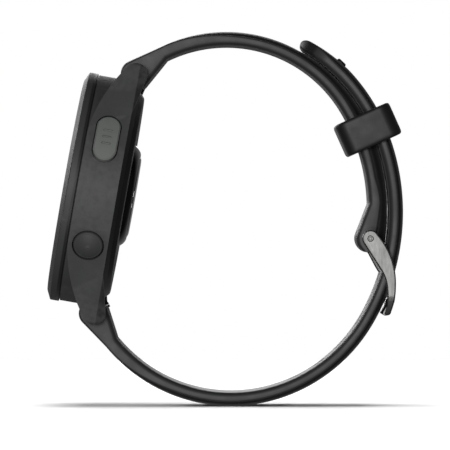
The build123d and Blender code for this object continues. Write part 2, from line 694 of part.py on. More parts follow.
middle = path(*lower_band, strap_thick / 2)
with BuildPart() as strap_lower:
    extrude(band(*lower_band, 0, wall_height), amount=half_width, both=True)
    extrude(band(*lower_band, wall_height, strap_thick), amount=crown_half, both=True)
    extrude(root(lower_bar_point, "lower", lower_start, lower_heading, 1), amount=half_width,
            both=True)
    # rounded tip
    tip = Plane(origin=middle @ 1, x_dir=middle % 1, z_dir=(middle % 1).cross(Vector(0, 1, 0)))
    with BuildSketch(tip):
        with Locations((-tip_round, 0)):
            Rectangle(past, strap_width + 2, align=(Align.MIN, Align.CENTER))
            Circle(half_width + 0.2, mode=Mode.SUBTRACT)
    extrude(amount=tip_round, both=True, mode=Mode.SUBTRACT)
    # stop bar across the outer face
    stop_spot = middle.length - stop_place
    stop_plane = Plane(origin=middle.position_at(stop_spot, PositionMode.LENGTH),
                       x_dir=middle.tangent_at(stop_spot, PositionMode.LENGTH),
                       z_dir=middle.tangent_at(stop_spot, PositionMode.LENGTH).cross(Vector(0, -1, 0)))
    with BuildSketch(stop_plane.offset(strap_thick / 2 - stop_sink)):
        RectangleRounded(stop_length, crown_half * 1.6, stop_corner)
    extrude(amount=stop_sink + stop_height)
    for count in hole_stations:
        spot = tongue_station + count * hole_pitch
        if count and spot < stop_spot - stop_clear:
            run = middle.tangent_at(spot, PositionMode.LENGTH)
            with BuildSketch(Plane(origin=middle.position_at(spot, PositionMode.LENGTH), x_dir=run,
                                   z_dir=run.cross(Vector(0, -1, 0)))):
                SlotOverall(hole_length, hole_width)
            extrude(amount=strap_thick, both=True, mode=Mode.SUBTRACT)
    with BuildSketch(crossing_plane):
        RectangleRounded(hole_width, hole_length, hole_corner)
    extrude(amount=1.5 * strap_thick, both=True, mode=Mode.SUBTRACT)
    add(rod(lower_bar_point, bar_radius + slack, -half_width - 1, half_width + 1), mode=Mode.SUBTRACT)
    add(lever_notch("lower", lower_bar_point), mode=Mode.SUBTRACT)
finish(strap_lower.part, "strap_lower")

# ---- buckle ---------------------------------------------------------------------------------
with BuildSketch(buckle) as arm_side:
    with BuildLine():
        outer = ThreePointArc((1.3, 0.75), (3.75, -4.4), (4.6, -8.9))
        tail = ThreePointArc(outer @ 1, (4.45, -11.2), (3.85, -13.5))
        nose = ThreePointArc(tail @ 1, (3.3, -14.2), (2.6, -13.95))
        inner = ThreePointArc(nose @ 1, (3.2, -11.5), (3.2, -9.5))
        elbow = ThreePointArc(inner @ 1, (2.85, -7.3), (2.0, -5.7))
        Polyline(elbow @ 1, (-1.35, -0.65), (-0.6, 1.4), (0.4, 1.5), outer @ 0)
    make_face()
    Circle(arm_boss)
    Circle(pin_radius + slack, mode=Mode.SUBTRACT)

with BuildSketch(buckle) as bar_side:
    with BuildLine():
        bar_inner = ThreePointArc((3.5, -11.0), (2.95, -12.5), (2.15, -13.95))
        nose = ThreePointArc(bar_inner @ 1, (2.7, -14.25), (3.4, -14.2))
        Polyline(nose @ 1, (3.85, -13.5), (4.3, -11.8), (4.25, -11.0), bar_inner @ 0)
    make_face()


def tongue_side(thick):
    """Side outline of the tongue, thick mm through."""
    with BuildSketch(buckle) as outline:
        with BuildLine():
            Polyline(*tongue_line)
        trace(line_width=thick)
    return outline.sketch


with BuildPart() as buckle_frame:
    extrude(arm_side.sketch, amount=arm_outer, both=True)
    with BuildSketch(buckle):
        Rectangle(2 * past, 2 * past)
    extrude(amount=arm_inner, both=True, mode=Mode.SUBTRACT)
    extrude(bar_side.sketch, amount=arm_inner + bar_overlap, both=True)
    # notch where the tongue's tip rests
    extrude(tongue_side(tongue_thick + 2 * slack), amount=tongue_width / 2 + tongue_side_gap, both=True,
            mode=Mode.SUBTRACT)
finish(buckle_frame.part, "buckle_frame")

with BuildPart() as buckle_pin:
    add(rod(pin_point, pin_radius, -arm_outer + pin_short, arm_outer - pin_short))
finish(buckle_pin.part, "buckle_pin")

with BuildPart() as buckle_tongue:
    extrude(tongue_side(tongue_thick), amount=tongue_width / 2, both=True)
    add(rod(pin_point, pin_radius + tongue_thick, -tongue_width / 2, tongue_width / 2))
    add(rod(pin_point, pin_radius + slack, -tongue_width, tongue_width), mode=Mode.SUBTRACT)
finish(buckle_tongue.part, "buckle_tongue")

# ---- keeper ---------------------------------------------------------------------------------
keeper_run = middle.tangent_at(keeper_station, PositionMode.LENGTH)
keeper_spot = middle.position_at(keeper_station, PositionMode.LENGTH)
keeper_middle = keeper_spot + keeper_run.cross(Vector(0, -1, 0)) * -keeper_shift
keeper_plane = Plane(origin=keeper_middle, x_dir=(0, 1, 0), z_dir=keeper_run)
with BuildPart() as keeper:
    with BuildSketch(keeper_plane.offset(-keeper_length / 2)):
        RectangleRounded(2 * arm_outer, keeper_height, keeper_wall + keeper_inner_corner)
        RectangleRounded(2 * (arm_outer - keeper_wall), keeper_height - 2 * keeper_wall,
                         keeper_inner_corner, mode=Mode.SUBTRACT)
    extrude(amount=keeper_length)
    with BuildSketch(Plane(origin=keeper_middle, x_dir=keeper_run, z_dir=(0, 1, 0))):
        RectangleRounded(keeper_length, keeper_height, keeper_corner)
    extrude(amount=past, both=True, mode=Mode.INTERSECT)
finish(keeper.part, "keeper")
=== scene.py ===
"""Looks of the running watch: strap, keeper, buckle, bezel, buttons, case finishes and studio."""
import json
import logging
import math
from dataclasses import dataclass, field
from enum import Enum
from typing import Callable, Optional, Sequence

import bmesh
import bpy
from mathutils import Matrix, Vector
from mathutils.geometry import convex_hull_2d

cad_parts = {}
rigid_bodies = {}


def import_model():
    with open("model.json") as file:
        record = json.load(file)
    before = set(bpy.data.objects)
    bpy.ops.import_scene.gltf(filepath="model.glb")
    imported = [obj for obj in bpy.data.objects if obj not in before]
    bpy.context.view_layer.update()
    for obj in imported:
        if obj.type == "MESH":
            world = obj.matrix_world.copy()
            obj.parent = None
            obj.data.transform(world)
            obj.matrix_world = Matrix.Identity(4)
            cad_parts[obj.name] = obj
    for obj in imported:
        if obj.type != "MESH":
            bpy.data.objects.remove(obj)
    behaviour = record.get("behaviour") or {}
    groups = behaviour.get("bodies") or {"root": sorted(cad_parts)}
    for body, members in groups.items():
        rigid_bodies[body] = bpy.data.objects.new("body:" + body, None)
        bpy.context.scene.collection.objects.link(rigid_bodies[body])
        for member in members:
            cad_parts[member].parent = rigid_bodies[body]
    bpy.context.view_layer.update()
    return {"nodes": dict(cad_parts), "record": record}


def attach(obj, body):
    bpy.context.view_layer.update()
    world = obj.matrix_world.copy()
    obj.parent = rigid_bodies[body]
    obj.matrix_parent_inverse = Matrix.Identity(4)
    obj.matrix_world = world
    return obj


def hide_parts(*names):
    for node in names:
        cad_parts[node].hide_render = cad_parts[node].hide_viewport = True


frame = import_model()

MM = 0.001
ROOT_REACH = 0.975
Point2 = tuple[float, float]
Color = tuple[float, float, float]
log = logging.getLogger("watch")


# ---- shared geometry ------------------------------------------------------------------------
@dataclass(frozen=True)
class CasePlace:
    """Where the leaning case stands, in millimetres.

    Across points to 3 o'clock, up to 12 o'clock, and a depth is counted behind the display.
    """

    centre: tuple[float, float, float] = (-29.67, 0.0, 41.05)
    tilt: float = 10.0
    lug_reach: float = 22.3
    lug_depth: float = 9.27

    @property
    def across(self) -> Vector:
        """Unit direction to 3 o'clock."""
        return Vector((0.0, -1.0, 0.0))

    @property
    def up(self) -> Vector:
        """Unit direction to 12 o'clock."""
        lean = math.radians(self.tilt)
        return Vector((math.sin(lean), 0.0, math.cos(lean)))

    @property
    def out(self) -> Vector:
        """Unit direction out of the display."""
        lean = math.radians(self.tilt)
        return Vector((-math.cos(lean), 0.0, math.sin(lean)))

    def point(self, across: float, up: float, depth: float) -> Vector:
        """A point of the case in the row frame.

        Args:
            across: Millimetres to 3 o'clock.
            up: Millimetres to 12 o'clock.
            depth: Millimetres behind the display's front.

        Returns:
            The point, in millimetres.
        """
        return Vector(self.centre) + self.across * across + self.up * up - self.out * depth

    def radial(self, angle: float) -> Vector:
        """Unit direction out of the case's side at an angle in degrees from 3 o'clock."""
        turn = math.radians(angle)
        return self.across * math.cos(turn) + self.up * math.sin(turn)

    def bar(self, side: int) -> Point2:
        """X and Z of a spring bar: side is 1 for the upper one and -1 for the lower one."""
        spot = self.point(0.0, side * self.lug_reach, self.lug_depth)
        return spot.x, spot.z


CASE = CasePlace()


def mesh_object(name: str, bm: bmesh.types.BMesh, sharp: float = 38.0) -> bpy.types.Object:
    """Turn a bmesh drawn in millimetres into an object with smooth faces and sharp corners.

    Args:
        name: The piece's name.
        bm: The mesh, which is freed.
        sharp: Edges steeper than this many degrees stay sharp.

    Returns:
        The linked object, in metres.
    """
    bmesh.ops.remove_doubles(bm, verts=bm.verts, dist=1e-5)
    bmesh.ops.recalc_face_normals(bm, faces=bm.faces)
    bmesh.ops.scale(bm, vec=(MM, MM, MM), verts=bm.verts)
    mesh = bpy.data.meshes.new(name)
    bm.to_mesh(mesh)
    bm.free()
    piece = bpy.data.objects.new(name, mesh)
    bpy.context.scene.collection.objects.link(piece)
    smooth(piece, sharp)
    return piece


def smooth(piece: bpy.types.Object, sharp: float = 38.0) -> None:
    """Shade an object smooth, with its steep edges sharp."""
    piece.data.shade_smooth()
    piece.data.set_sharp_from_angle(angle=math.radians(sharp))


def skin(bm: bmesh.types.BMesh, rings: Sequence[Sequence[Vector]], closed: bool = False) -> None:
    """Join rings of equal length into a tube.

    Args:
        bm: The mesh that takes the faces.
        rings: The rings in order, each a closed loop of points in millimetres.
        closed: Whether the last ring joins the first; otherwise both ends get a cap.
    """
    rows = [[bm.verts.new(point) for point in ring] for ring in rings]
    pairs = list(zip(rows, rows[1:]))
    if closed:
        pairs.append((rows[-1], rows[0]))
    for low, high in pairs:
        for i in range(len(low)):
            j = (i + 1) % len(low)
            bm.faces.new((low[i], low[j], high[j], high[i]))
    if not closed:
        bm.faces.new(rows[0][::-1])
        bm.faces.new(rows[-1])


def turned(bm: bmesh.types.BMesh, profile: Sequence[Point2], origin: Vector, axis: Vector,
           start: Vector, steps: int = 192) -> None:
    """Turn a closed profile about an axis.

    Args:
        bm: The mesh that takes the faces.
        profile: (radius, distance along the axis) points in millimetres.
        origin: The point where the distance is 0.
        axis: Unit direction of the axis.
        start: Unit direction square to the axis.
        steps: Number of steps round the axis.
    """
    other = axis.cross(start)
    rings = []
    for i in range(steps):
        turn = 2 * math.pi * i / steps
        away = start * math.cos(turn) + other * math.sin(turn)
        rings.append([origin + away * radius + axis * along for radius, along in profile])
    skin(bm, rings, closed=True)


def rounded(points: Sequence[Point2], radius: float, steps: int = 4) -> list[Point2]:
    """Round every corner of a closed outline.

    Args:
        points: The outline's corners.
        radius: How far from each corner the rounding starts, less where a side is short.
        steps: Number of points in each rounding, less one.

    Returns:
        The new outline.
    """
    made: list[Point2] = []
    count = len(points)
    for i, corner in enumerate(points):
        here = Vector(corner)
        before, after = Vector(points[i - 1]) - here, Vector(points[(i + 1) % count]) - here
        reach_in = min(radius, before.length * 0.45)
        reach_out = min(radius, after.length * 0.45)
        first, last = here + before.normalized() * reach_in, here + after.normalized() * reach_out
        for k in range(steps + 1):
            t = k / steps
            spot = first * (1 - t) ** 2 + here * (2 * t * (1 - t)) + last * t ** 2
            made.append((spot.x, spot.y))
    return made


def arc_points(first: Point2, middle: Point2, last: Point2, steps: int) -> list[Point2]:
    """Points of the arc through three points, without the last one."""
    (ax, ay), (bx, by), (cx, cy) = first, middle, last
    d = 2 * (ax * (by - cy) + bx * (cy - ay) + cx * (ay - by))
    ux = ((ax**2 + ay**2) * (by - cy) + (bx**2 + by**2) * (cy - ay) + (cx**2 + cy**2) * (ay - by)) / d
    uy = ((ax**2 + ay**2) * (cx - bx) + (bx**2 + by**2) * (ax - cx) + (cx**2 + cy**2) * (bx - ax)) / d
    radius = math.hypot(ax - ux, ay - uy)
    begin, via, end = (math.atan2(y - uy, x - ux) for x, y in (first, middle, last))
    sweep = (end - begin) % (2 * math.pi)
    if (via - begin) % (2 * math.pi) > sweep:
        sweep -= 2 * math.pi
    return [(ux + radius * math.cos(begin + sweep * k / steps),
             uy + radius * math.sin(begin + sweep * k / steps)) for k in range(steps)]


def plate(bm: bmesh.types.BMesh, outline: Sequence[Point2], low: float, high: float, bevel: float,
          steps: int = 3) -> None:
    """A flat plate cut from the XZ plane, thick along Y, with both rims rounded over.

    Args:
        bm: The mesh that takes the faces.
        outline: X and Z of its edge.
        low: Y of one face.
        high: Y of the other face.
        bevel: Size of the rounding at the rims.
        steps: Number of steps in the rounding.
    """
    inside = inset(outline, bevel)
    support = inset(outline, bevel + 0.04)
    rings = []
    for face, sign in ((low, 1.0), (high, -1.0)):
        part = [[Vector((x, face, z)) for x, z in support]]
        for k in range(steps + 1):
            turn = 0.5 * math.pi * k / steps
            mix = math.sin(turn)
            y = face + sign * bevel * (1 - math.cos(turn))
            part.append([Vector((a[0] + (b[0] - a[0]) * mix, y, a[1] + (b[1] - a[1]) * mix))
                         for a, b in zip(inside, outline)])
        rings += part if sign > 0 else part[::-1]
    skin(bm, rings)


def inset(outline: Sequence[Point2], amount: float) -> list[Point2]:
    """The outline moved inwards along its own normals."""
    area = sum(a[0] * b[1] - b[0] * a[1] for a, b in zip(outline, [*outline[1:], outline[0]]))
    sign = 1.0 if area > 0 else -1.0
    made = []
    for i, here in enumerate(outline):
        before, after = outline[i - 1], outline[(i + 1) % len(outline)]
        run = Vector((after[0] - before[0], after[1] - before[1])).normalized()
        made.append((here[0] - run.y * amount * sign, here[1] + run.x * amount * sign))
    return made


def carve(piece: bpy.types.Object, cutter: bpy.types.Object, operation: str = "DIFFERENCE") -> None:
    """Cut, or join with operation UNION, one piece by another, which is then removed."""
    modifier = piece.modifiers.new("carve", "BOOLEAN")
    modifier.operation = operation
    modifier.solver = "EXACT"
    modifier.object = cutter
    depsgraph = bpy.context.evaluated_depsgraph_get()
    mesh = bpy.data.meshes.new_from_object(piece.evaluated_get(depsgraph))
    piece.modifiers.remove(modifier)
    old = piece.data
    piece.data = mesh
    bpy.data.meshes.remove(old)
    bpy.data.objects.remove(cutter)
    smooth(piece)


# ---- shader groups --------------------------------------------------------------------------
class Kit:
    """Small helper that adds nodes and links to one node tree."""

    def __init__(self, tree: bpy.types.NodeTree) -> None:
        """Keep the tree that nodes are added to."""
        self.tree = tree

    def node(self, kind: str, **values: object) -> bpy.types.Node:
        """Add a node.

        Args:
            kind: The node's type, without the ShaderNode in front.
            **values: Its properties by name.

        Returns:
            The new node.
        """
        made = self.tree.nodes.new("ShaderNode" + kind if not kind.startswith("Node") else kind)
        for name, value in values.items():
            setattr(made, name, value)
        return made

    def link(self, source: bpy.types.NodeSocket, target: bpy.types.NodeSocket) -> None:
        """Join two sockets."""
        self.tree.links.new(source, target)

    def put(self, value: object, target: bpy.types.NodeSocket) -> None:
        """Link a socket to the target, or set the target's own value."""
        if isinstance(value, bpy.types.NodeSocket):
            self.link(value, target)
        else:
            target.default_value = value

    def math(self, operation: str, a: object, b: object = 0.0, c: object = 0.0,
             clamp: bool = False) -> bpy.types.NodeSocket:
        """A Math node's result."""
        made = self.node("Math", operation=operation, use_clamp=clamp)
        for value, target in zip((a, b, c), made.inputs):
            self.put(value, target)
        return made.outputs[0]

    def span(self, value: object, low: float, high: float, to_low: float = 0.0,
             to_high: float = 1.0) -> bpy.types.NodeSocket:
        """A smooth step from one value to another as the input goes from low to high."""
        made = self.node("MapRange", interpolation_type="SMOOTHSTEP")
        for item, target in zip((value, low, high, to_low, to_high), made.inputs):
            self.put(item, target)
        return made.outputs[0]

    def noise(self, vector: object, scale: float, detail: float = 3.0,
              rough: float = 0.55) -> bpy.types.NodeSocket:
        """A noise texture's value. The scale is in waves per metre."""
        made = self.node("TexNoise")
        self.put(vector, made.inputs["Vector"])
        made.inputs["Scale"].default_value = scale
        made.inputs["Detail"].default_value = detail
        made.inputs["Roughness"].default_value = rough
        return made.outputs["Fac"]

    def stretch(self, vector: object, scale: Sequence[float]) -> bpy.types.NodeSocket:
        """The vector multiplied axis by axis."""
        made = self.node("VectorMath", operation="MULTIPLY")
        self.put(vector, made.inputs[0])
        made.inputs[1].default_value = tuple(scale)
        return made.outputs[0]

    def along(self, vector: object, axis: Sequence[float]) -> bpy.types.NodeSocket:
        """The vector's length along an axis."""
        made = self.node("VectorMath", operation="DOT_PRODUCT")
        self.put(vector, made.inputs[0])
        made.inputs[1].default_value = tuple(axis)
        return made.outputs["Value"]

    def blend(self, factor: object, a: object, b: object) -> bpy.types.NodeSocket:
        """A mix of two colours."""
        made = self.node("Mix", data_type="RGBA")
        self.put(factor, made.inputs[0])
        self.put((*a, 1.0) if isinstance(a, tuple) else a, made.inputs[6])
        self.put((*b, 1.0) if isinstance(b, tuple) else b, made.inputs[7])
        return made.outputs[2]


class GroupName(Enum):
    """The shared shader effects."""

    PLACE = "case_place"
    MOULD = "moulded_grain"
    SILICONE = "silicone_bloom"
    BRUSHED = "brushed_lines"
    TURNED = "turned_rings"
    WEAR = "edge_wear"
    SPECKS = "fine_dust"


class ShaderGroups:
    """Builds each shared node group once."""

    def __init__(self) -> None:
        """Start with no group made."""
        self.made: dict[GroupName, bpy.types.ShaderNodeTree] = {}

    def get(self, name: GroupName) -> bpy.types.ShaderNodeTree:
        """The named group, built the first time it is asked for."""
        if name not in self.made:
            tree = bpy.data.node_groups.new(name.value, "ShaderNodeTree")
            self.made[name] = tree
            getattr(self, "build_" + name.name.lower())(tree)
        return self.made[name]

    @staticmethod
    def sockets(tree: bpy.types.ShaderNodeTree, inputs: Sequence[tuple[str, str, object]],
                outputs: Sequence[tuple[str, str]]) -> tuple[bpy.types.Node, bpy.types.Node, Kit]:
        """Declare a group's sockets.

        Args:
            tree: The group.
            inputs: (name, kind, starting value) of each input; the value may be None.
            outputs: (name, kind) of each output.

        Returns:
            The input node, the output node and a kit for the tree.
        """
        for name, kind, value in inputs:
            made = tree.interface.new_socket(name, in_out="INPUT", socket_type="NodeSocket" + kind)
            if value is not None:
                made.default_value = value
        for name, kind in outputs:
            tree.interface.new_socket(name, in_out="OUTPUT", socket_type="NodeSocket" + kind)
        return tree.nodes.new("NodeGroupInput"), tree.nodes.new("NodeGroupOutput"), Kit(tree)

    def build_place(self, tree: bpy.types.ShaderNodeTree) -> None:
        """Millimetres across, up and behind the display, and the radius from the case's axis."""
        given, result, kit = self.sockets(
            tree, [("Vector", "Vector", None)],
            [("Across", "Float"), ("Up", "Float"), ("Depth", "Float"), ("Radius", "Float")])
        shift = kit.node("VectorMath", operation="SUBTRACT")
        kit.link(given.outputs[0], shift.inputs[0])
        shift.inputs[1].default_value = Vector(CASE.centre) * MM
        per_mm = 1 / MM
        across = kit.along(shift.outputs[0], CASE.across * per_mm)
        up = kit.along(shift.outputs[0], CASE.up * per_mm)
        depth = kit.along(shift.outputs[0], CASE.out * -per_mm)
        squares = kit.math("ADD", kit.math("MULTIPLY", across, across), kit.math("MULTIPLY", up, up))
        for value, target in zip((across, up, depth, kit.math("SQRT", squares)), result.inputs):
            kit.link(value, target)

    def build_mould(self, tree: bpy.types.ShaderNodeTree) -> None:
        """Fine spark-eroded grain of a moulded part."""
        given, result, kit = self.sockets(
            tree, [("Vector", "Vector", None), ("Grains per metre", "Float", 9000.0)],
            [("Height", "Float"), ("Value", "Float")])
        cells = kit.node("TexVoronoi", feature="SMOOTH_F1")
        kit.link(given.outputs[0], cells.inputs["Vector"])
        kit.link(given.outputs[1], cells.inputs["Scale"])
        fine = kit.noise(given.outputs[0], 14000.0, 4.0)
        broad = kit.noise(given.outputs[0], 260.0, 3.0)
        height = kit.math("ADD", kit.math("MULTIPLY", cells.outputs["Distance"], 0.6),
                          kit.math("MULTIPLY", fine, 0.4))
        value = kit.math("ADD", kit.math("MULTIPLY", height, 0.55), kit.math("MULTIPLY", broad, 0.45))
        kit.link(height, result.inputs[0])
        kit.link(value, result.inputs[1])

    def build_silicone(self, tree: bpy.types.ShaderNodeTree) -> None:
        """Soft uneven bloom of silicone with a very fine matte tooth."""
        given, result, kit = self.sockets(
            tree, [("Vector", "Vector", None)], [("Height", "Float"), ("Value", "Float")])
        tooth = kit.noise(given.outputs[0], 16000.0, 3.0, 0.6)
        flow = kit.noise(kit.stretch(given.outputs[0], (1.0, 0.35, 1.0)), 420.0, 4.0)
        broad = kit.noise(given.outputs[0], 90.0, 2.0)
        height = kit.math("ADD", kit.math("MULTIPLY", tooth, 0.7), kit.math("MULTIPLY", flow, 0.3))
        value = kit.math("ADD", kit.math("MULTIPLY", flow, 0.5), kit.math("MULTIPLY", broad, 0.5))
        kit.link(height, result.inputs[0])
        kit.link(value, result.inputs[1])

    def build_brushed(self, tree: bpy.types.ShaderNodeTree) -> None:
        """Fine parallel brush lines, long in one direction, over a faint blasted texture."""
        given, result, kit = self.sockets(
            tree, [("Vector", "Vector", None), ("Squeeze", "Vector", (1.0, 1.0, 1.0))],
            [("Height", "Float"), ("Value", "Float")])
        squeeze = kit.node("VectorMath", operation="MULTIPLY")
        kit.link(given.outputs[0], squeeze.inputs[0])
        kit.link(given.outputs[1], squeeze.inputs[1])
        lines = kit.noise(squeeze.outputs[0], 5200.0, 4.0, 0.65)
        patches = kit.noise(given.outputs[0], 340.0, 3.0)
        blast = kit.noise(given.outputs[0], 15000.0, 2.0)
        height = kit.math("ADD", kit.math("MULTIPLY", lines, 0.75), kit.math("MULTIPLY", blast, 0.25))
        value = kit.math("ADD", kit.math("MULTIPLY", lines, 0.6), kit.math("MULTIPLY", patches, 0.4))
        kit.link(height, result.inputs[0])
        kit.link(value, result.inputs[1])

    def build_turned(self, tree: bpy.types.ShaderNodeTree) -> None:
        """Fine concentric lathe rings about the case's axis."""
        given, result, kit = self.sockets(
            tree, [("Vector", "Vector", None), ("Rings per mm", "Float", 9.0)],
            [("Height", "Float"), ("Value", "Float")])
        place = kit.node("Group", node_tree=self.get(GroupName.PLACE))
        kit.link(given.outputs[0], place.inputs[0])
        waves = kit.math("MULTIPLY", place.outputs["Radius"], given.outputs[1])
        turns = kit.math("MULTIPLY", waves, math.tau)
        rings = kit.math("MULTIPLY_ADD", kit.math("SINE", turns), 0.5, 0.5)
        grain = kit.noise(given.outputs[0], 12000.0, 3.0)
        height = kit.math("ADD", kit.math("MULTIPLY", rings, 0.4), kit.math("MULTIPLY", grain, 0.6))
        kit.link(height, result.inputs[0])
        kit.link(kit.noise(given.outputs[0], 300.0, 3.0), result.inputs[1])

    def build_wear(self, tree: bpy.types.ShaderNodeTree) -> None:
        """Mask of the rubbed corners, broken up by noise."""
        given, result, kit = self.sockets(
            tree, [("Vector", "Vector", None), ("Start", "Float", 0.53), ("End", "Float", 0.62)],
            [("Mask", "Float")])
        curve = kit.node("NewGeometry").outputs["Pointiness"]
        made = kit.node("MapRange", interpolation_type="SMOOTHSTEP")
        for value, target in zip((curve, given.outputs[1], given.outputs[2]), made.inputs):
            kit.link(value, target)
        broken = kit.span(kit.noise(given.outputs[0], 900.0, 4.0), 0.3, 0.62, 0.35, 1.0)
        kit.link(kit.math("MULTIPLY", made.outputs[0], broken, clamp=True), result.inputs[0])

    def build_specks(self, tree: bpy.types.ShaderNodeTree) -> None:
        """Mask of sparse fine dust specks."""
        given, result, kit = self.sockets(
            tree, [("Vector", "Vector", None), ("Amount", "Float", 0.5)], [("Mask", "Float")])
        cells = kit.node("TexVoronoi")
        kit.link(given.outputs[0], cells.inputs["Vector"])
        cells.inputs["Scale"].default_value = 1500.0
        specks = kit.span(cells.outputs["Distance"], 0.1, 0.04)
        sparse = kit.span(kit.noise(given.outputs[0], 700.0, 2.0), 0.55, 0.7)
        mask = kit.math("MULTIPLY", kit.math("MULTIPLY", specks, sparse), given.outputs[1], clamp=True)
        kit.link(mask, result.inputs[0])


# ---- finishes -------------------------------------------------------------------------------
class Grain(Enum):
    """How a finish is textured."""

    MOULD = GroupName.MOULD
    SILICONE = GroupName.SILICONE
    BRUSHED = GroupName.BRUSHED
    TURNED = GroupName.TURNED


Band = Callable[[Kit, bpy.types.Node], bpy.types.NodeSocket]


@dataclass(frozen=True)
class Finish:
    """A material: two base colours, a grain, worn edges and dust."""

    name: str
    slot: str
    color: Color
    shade: Color
    roughness: float
    spread: float = 0.1
    metallic: float = 0.0
    grain: Grain = Grain.MOULD
    relief: float = 0.004
    relief_strength: float = 0.5
    squeeze: tuple[float, float, float] = (1.0, 1.0, 1.0)
    wear_color: Optional[Color] = None
    wear: tuple[float, float] = (0.53, 0.62)
    wear_amount: float = 0.5
    dust: float = 0.0
    coat: float = 0.0
    specular: float = 0.5
    sheen: float = 0.0
    anisotropic: float = 0.0
    transmission: float = 0.0
    ior: float = 1.5
    band: Optional[Band] = None
    band_color: Color = (0.0, 0.0, 0.0)
    band_roughness: float = 0.5

    def build(self, groups: ShaderGroups) -> bpy.types.Material:
        """Make the material.

        Args:
            groups: The shared node groups.

        Returns:
            The material with its nodes.
        """
        material = bpy.data.materials.new(self.name)
        material.use_nodes = True
        tree = material.node_tree
        tree.nodes.clear()
        kit = Kit(tree)
        shader = kit.node("BsdfPrincipled")
        kit.link(shader.outputs[0], kit.node("OutputMaterial").inputs[0])
        spot = kit.node("TexCoord").outputs["Object"]
        grain = kit.node("Group", node_tree=groups.get(self.grain.value))
        kit.link(spot, grain.inputs["Vector"])
        if self.grain is Grain.BRUSHED:
            grain.inputs["Squeeze"].default_value = self.squeeze
        value = grain.outputs["Value"]
        color = kit.blend(kit.span(value, 0.25, 0.75), self.color, self.shade)
        roughness = kit.span(value, 0.2, 0.8, max(self.roughness - self.spread, 0.02),
                             self.roughness + self.spread)
        # A band recolours part of the surface: print and sensor windows, and painted shade on the case's back
        # bevel, the bezel's seam strip and the straps' crowns.
        if self.band is not None:
            place = kit.node("Group", node_tree=groups.get(GroupName.PLACE))
            kit.link(spot, place.inputs[0])
            mask = self.band(kit, place)
            color = kit.blend(mask, color, self.band_color)
            mixed = kit.node("Mix", data_type="FLOAT")
            for item, socket in ((mask, 0), (roughness, 2), (self.band_roughness, 3)):
                kit.put(item, mixed.inputs[socket])
            roughness = mixed.outputs[0]
        if self.wear_color is not None:
            worn = kit.node("Group", node_tree=groups.get(GroupName.WEAR))
            kit.link(spot, worn.inputs[0])
            worn.inputs[1].default_value, worn.inputs[2].default_value = self.wear
            color = kit.blend(kit.math("MULTIPLY", worn.outputs[0], self.wear_amount), color, self.wear_color)
        if self.dust:
            specks = kit.node("Group", node_tree=groups.get(GroupName.SPECKS))
            kit.link(spot, specks.inputs[0])
            specks.inputs[1].default_value = self.dust
            color = kit.blend(specks.outputs[0], color, (0.32, 0.32, 0.33))
        kit.link(color, shader.inputs["Base Color"])
        kit.link(roughness, shader.inputs["Roughness"])
        shader.inputs["Metallic"].default_value = self.metallic
        shader.inputs["Coat Weight"].default_value = self.coat
        shader.inputs["Coat Roughness"].default_value = 0.12
        shader.inputs["Specular IOR Level"].default_value = self.specular
        shader.inputs["Sheen Weight"].default_value = self.sheen
        shader.inputs["Sheen Roughness"].default_value = 0.45
        shader.inputs["Anisotropic"].default_value = self.anisotropic
        shader.inputs["Transmission Weight"].default_value = self.transmission
        shader.inputs["IOR"].default_value = self.ior
        bump = kit.node("Bump")
        bump.inputs["Strength"].default_value = self.relief_strength
        bump.inputs["Distance"].default_value = self.relief * MM
        kit.link(grain.outputs["Height"], bump.inputs["Height"])
        kit.link(bump.outputs[0], shader.inputs["Normal"])
        return material


def case_back_painted_shade(kit: Kit, place: bpy.types.Node) -> bpy.types.NodeSocket:
    """Painted shade: the back bevel of the case, behind the flank, coloured darker; it is also smoother."""
    return kit.span(place.outputs["Depth"], 9.95, 10.1)


def bezel_seam_painted_shade(kit: Kit, place: bpy.types.Node) -> bpy.types.NodeSocket:
    """Painted shade: a darker strip of the bezel next to the seam."""
    return kit.span(place.outputs["Depth"], 1.75, 2.0)


def display_bands(kit: Kit, place: bpy.types.Node) -> bpy.types.NodeSocket:
    """Printed black border round the display's active area."""
    return kit.span(place.outputs["Radius"], 15.2, 15.3)


def lens_bands(kit: Kit, place: bpy.types.Node) -> bpy.types.NodeSocket:
    """Black print round the edge of the glass."""
    return kit.span(place.outputs["Radius"], 16.3, 16.4)


def strap_crown_painted_shade(kit: Kit, place: bpy.types.Node) -> bpy.types.NodeSocket:
    """Painted shade: the faces of a strap between its two side walls, coloured darker."""
    return kit.span(kit.math("ABSOLUTE", place.outputs["Across"]), 9.2, 8.7)


def sensor_bands(kit: Kit, place: bpy.types.Node) -> bpy.types.NodeSocket:
    """Four round receiver windows and a middle one under the dark sensor glass."""
    total: object = 0.0
    for across, up, radius in ((0, 0, 1.5), (3.6, 0, 1.35), (-3.6, 0, 1.35), (0, 3.6, 1.35), (0, -3.6, 1.35)):
        dx = kit.math("SUBTRACT", place.outputs["Across"], float(across))
        dy = kit.math("SUBTRACT", place.outputs["Up"], float(up))
        far = kit.math("SQRT", kit.math("ADD", kit.math("MULTIPLY", dx, dx), kit.math("MULTIPLY", dy, dy)))
        total = kit.math("ADD", total, kit.span(far, radius, radius - 0.08), clamp=True)
    return total


POLYMER = dict(color=(0.055, 0.0555, 0.056), shade=(0.052, 0.0525, 0.053), roughness=0.56, spread=0.04,
               relief=0.006, relief_strength=0.35, specular=0.25)
STEEL = dict(color=(0.44, 0.44, 0.435), shade=(0.37, 0.37, 0.365), roughness=0.36, spread=0.08, metallic=1.0,
             grain=Grain.BRUSHED, relief=0.003, relief_strength=0.4)
SILICONE = dict(color=(0.031, 0.031, 0.0315), shade=(0.027, 0.027, 0.0275), roughness=0.5, spread=0.07,
                grain=Grain.SILICONE, relief=0.004, relief_strength=0.35, sheen=0.06, dust=0.12,
                specular=0.4)

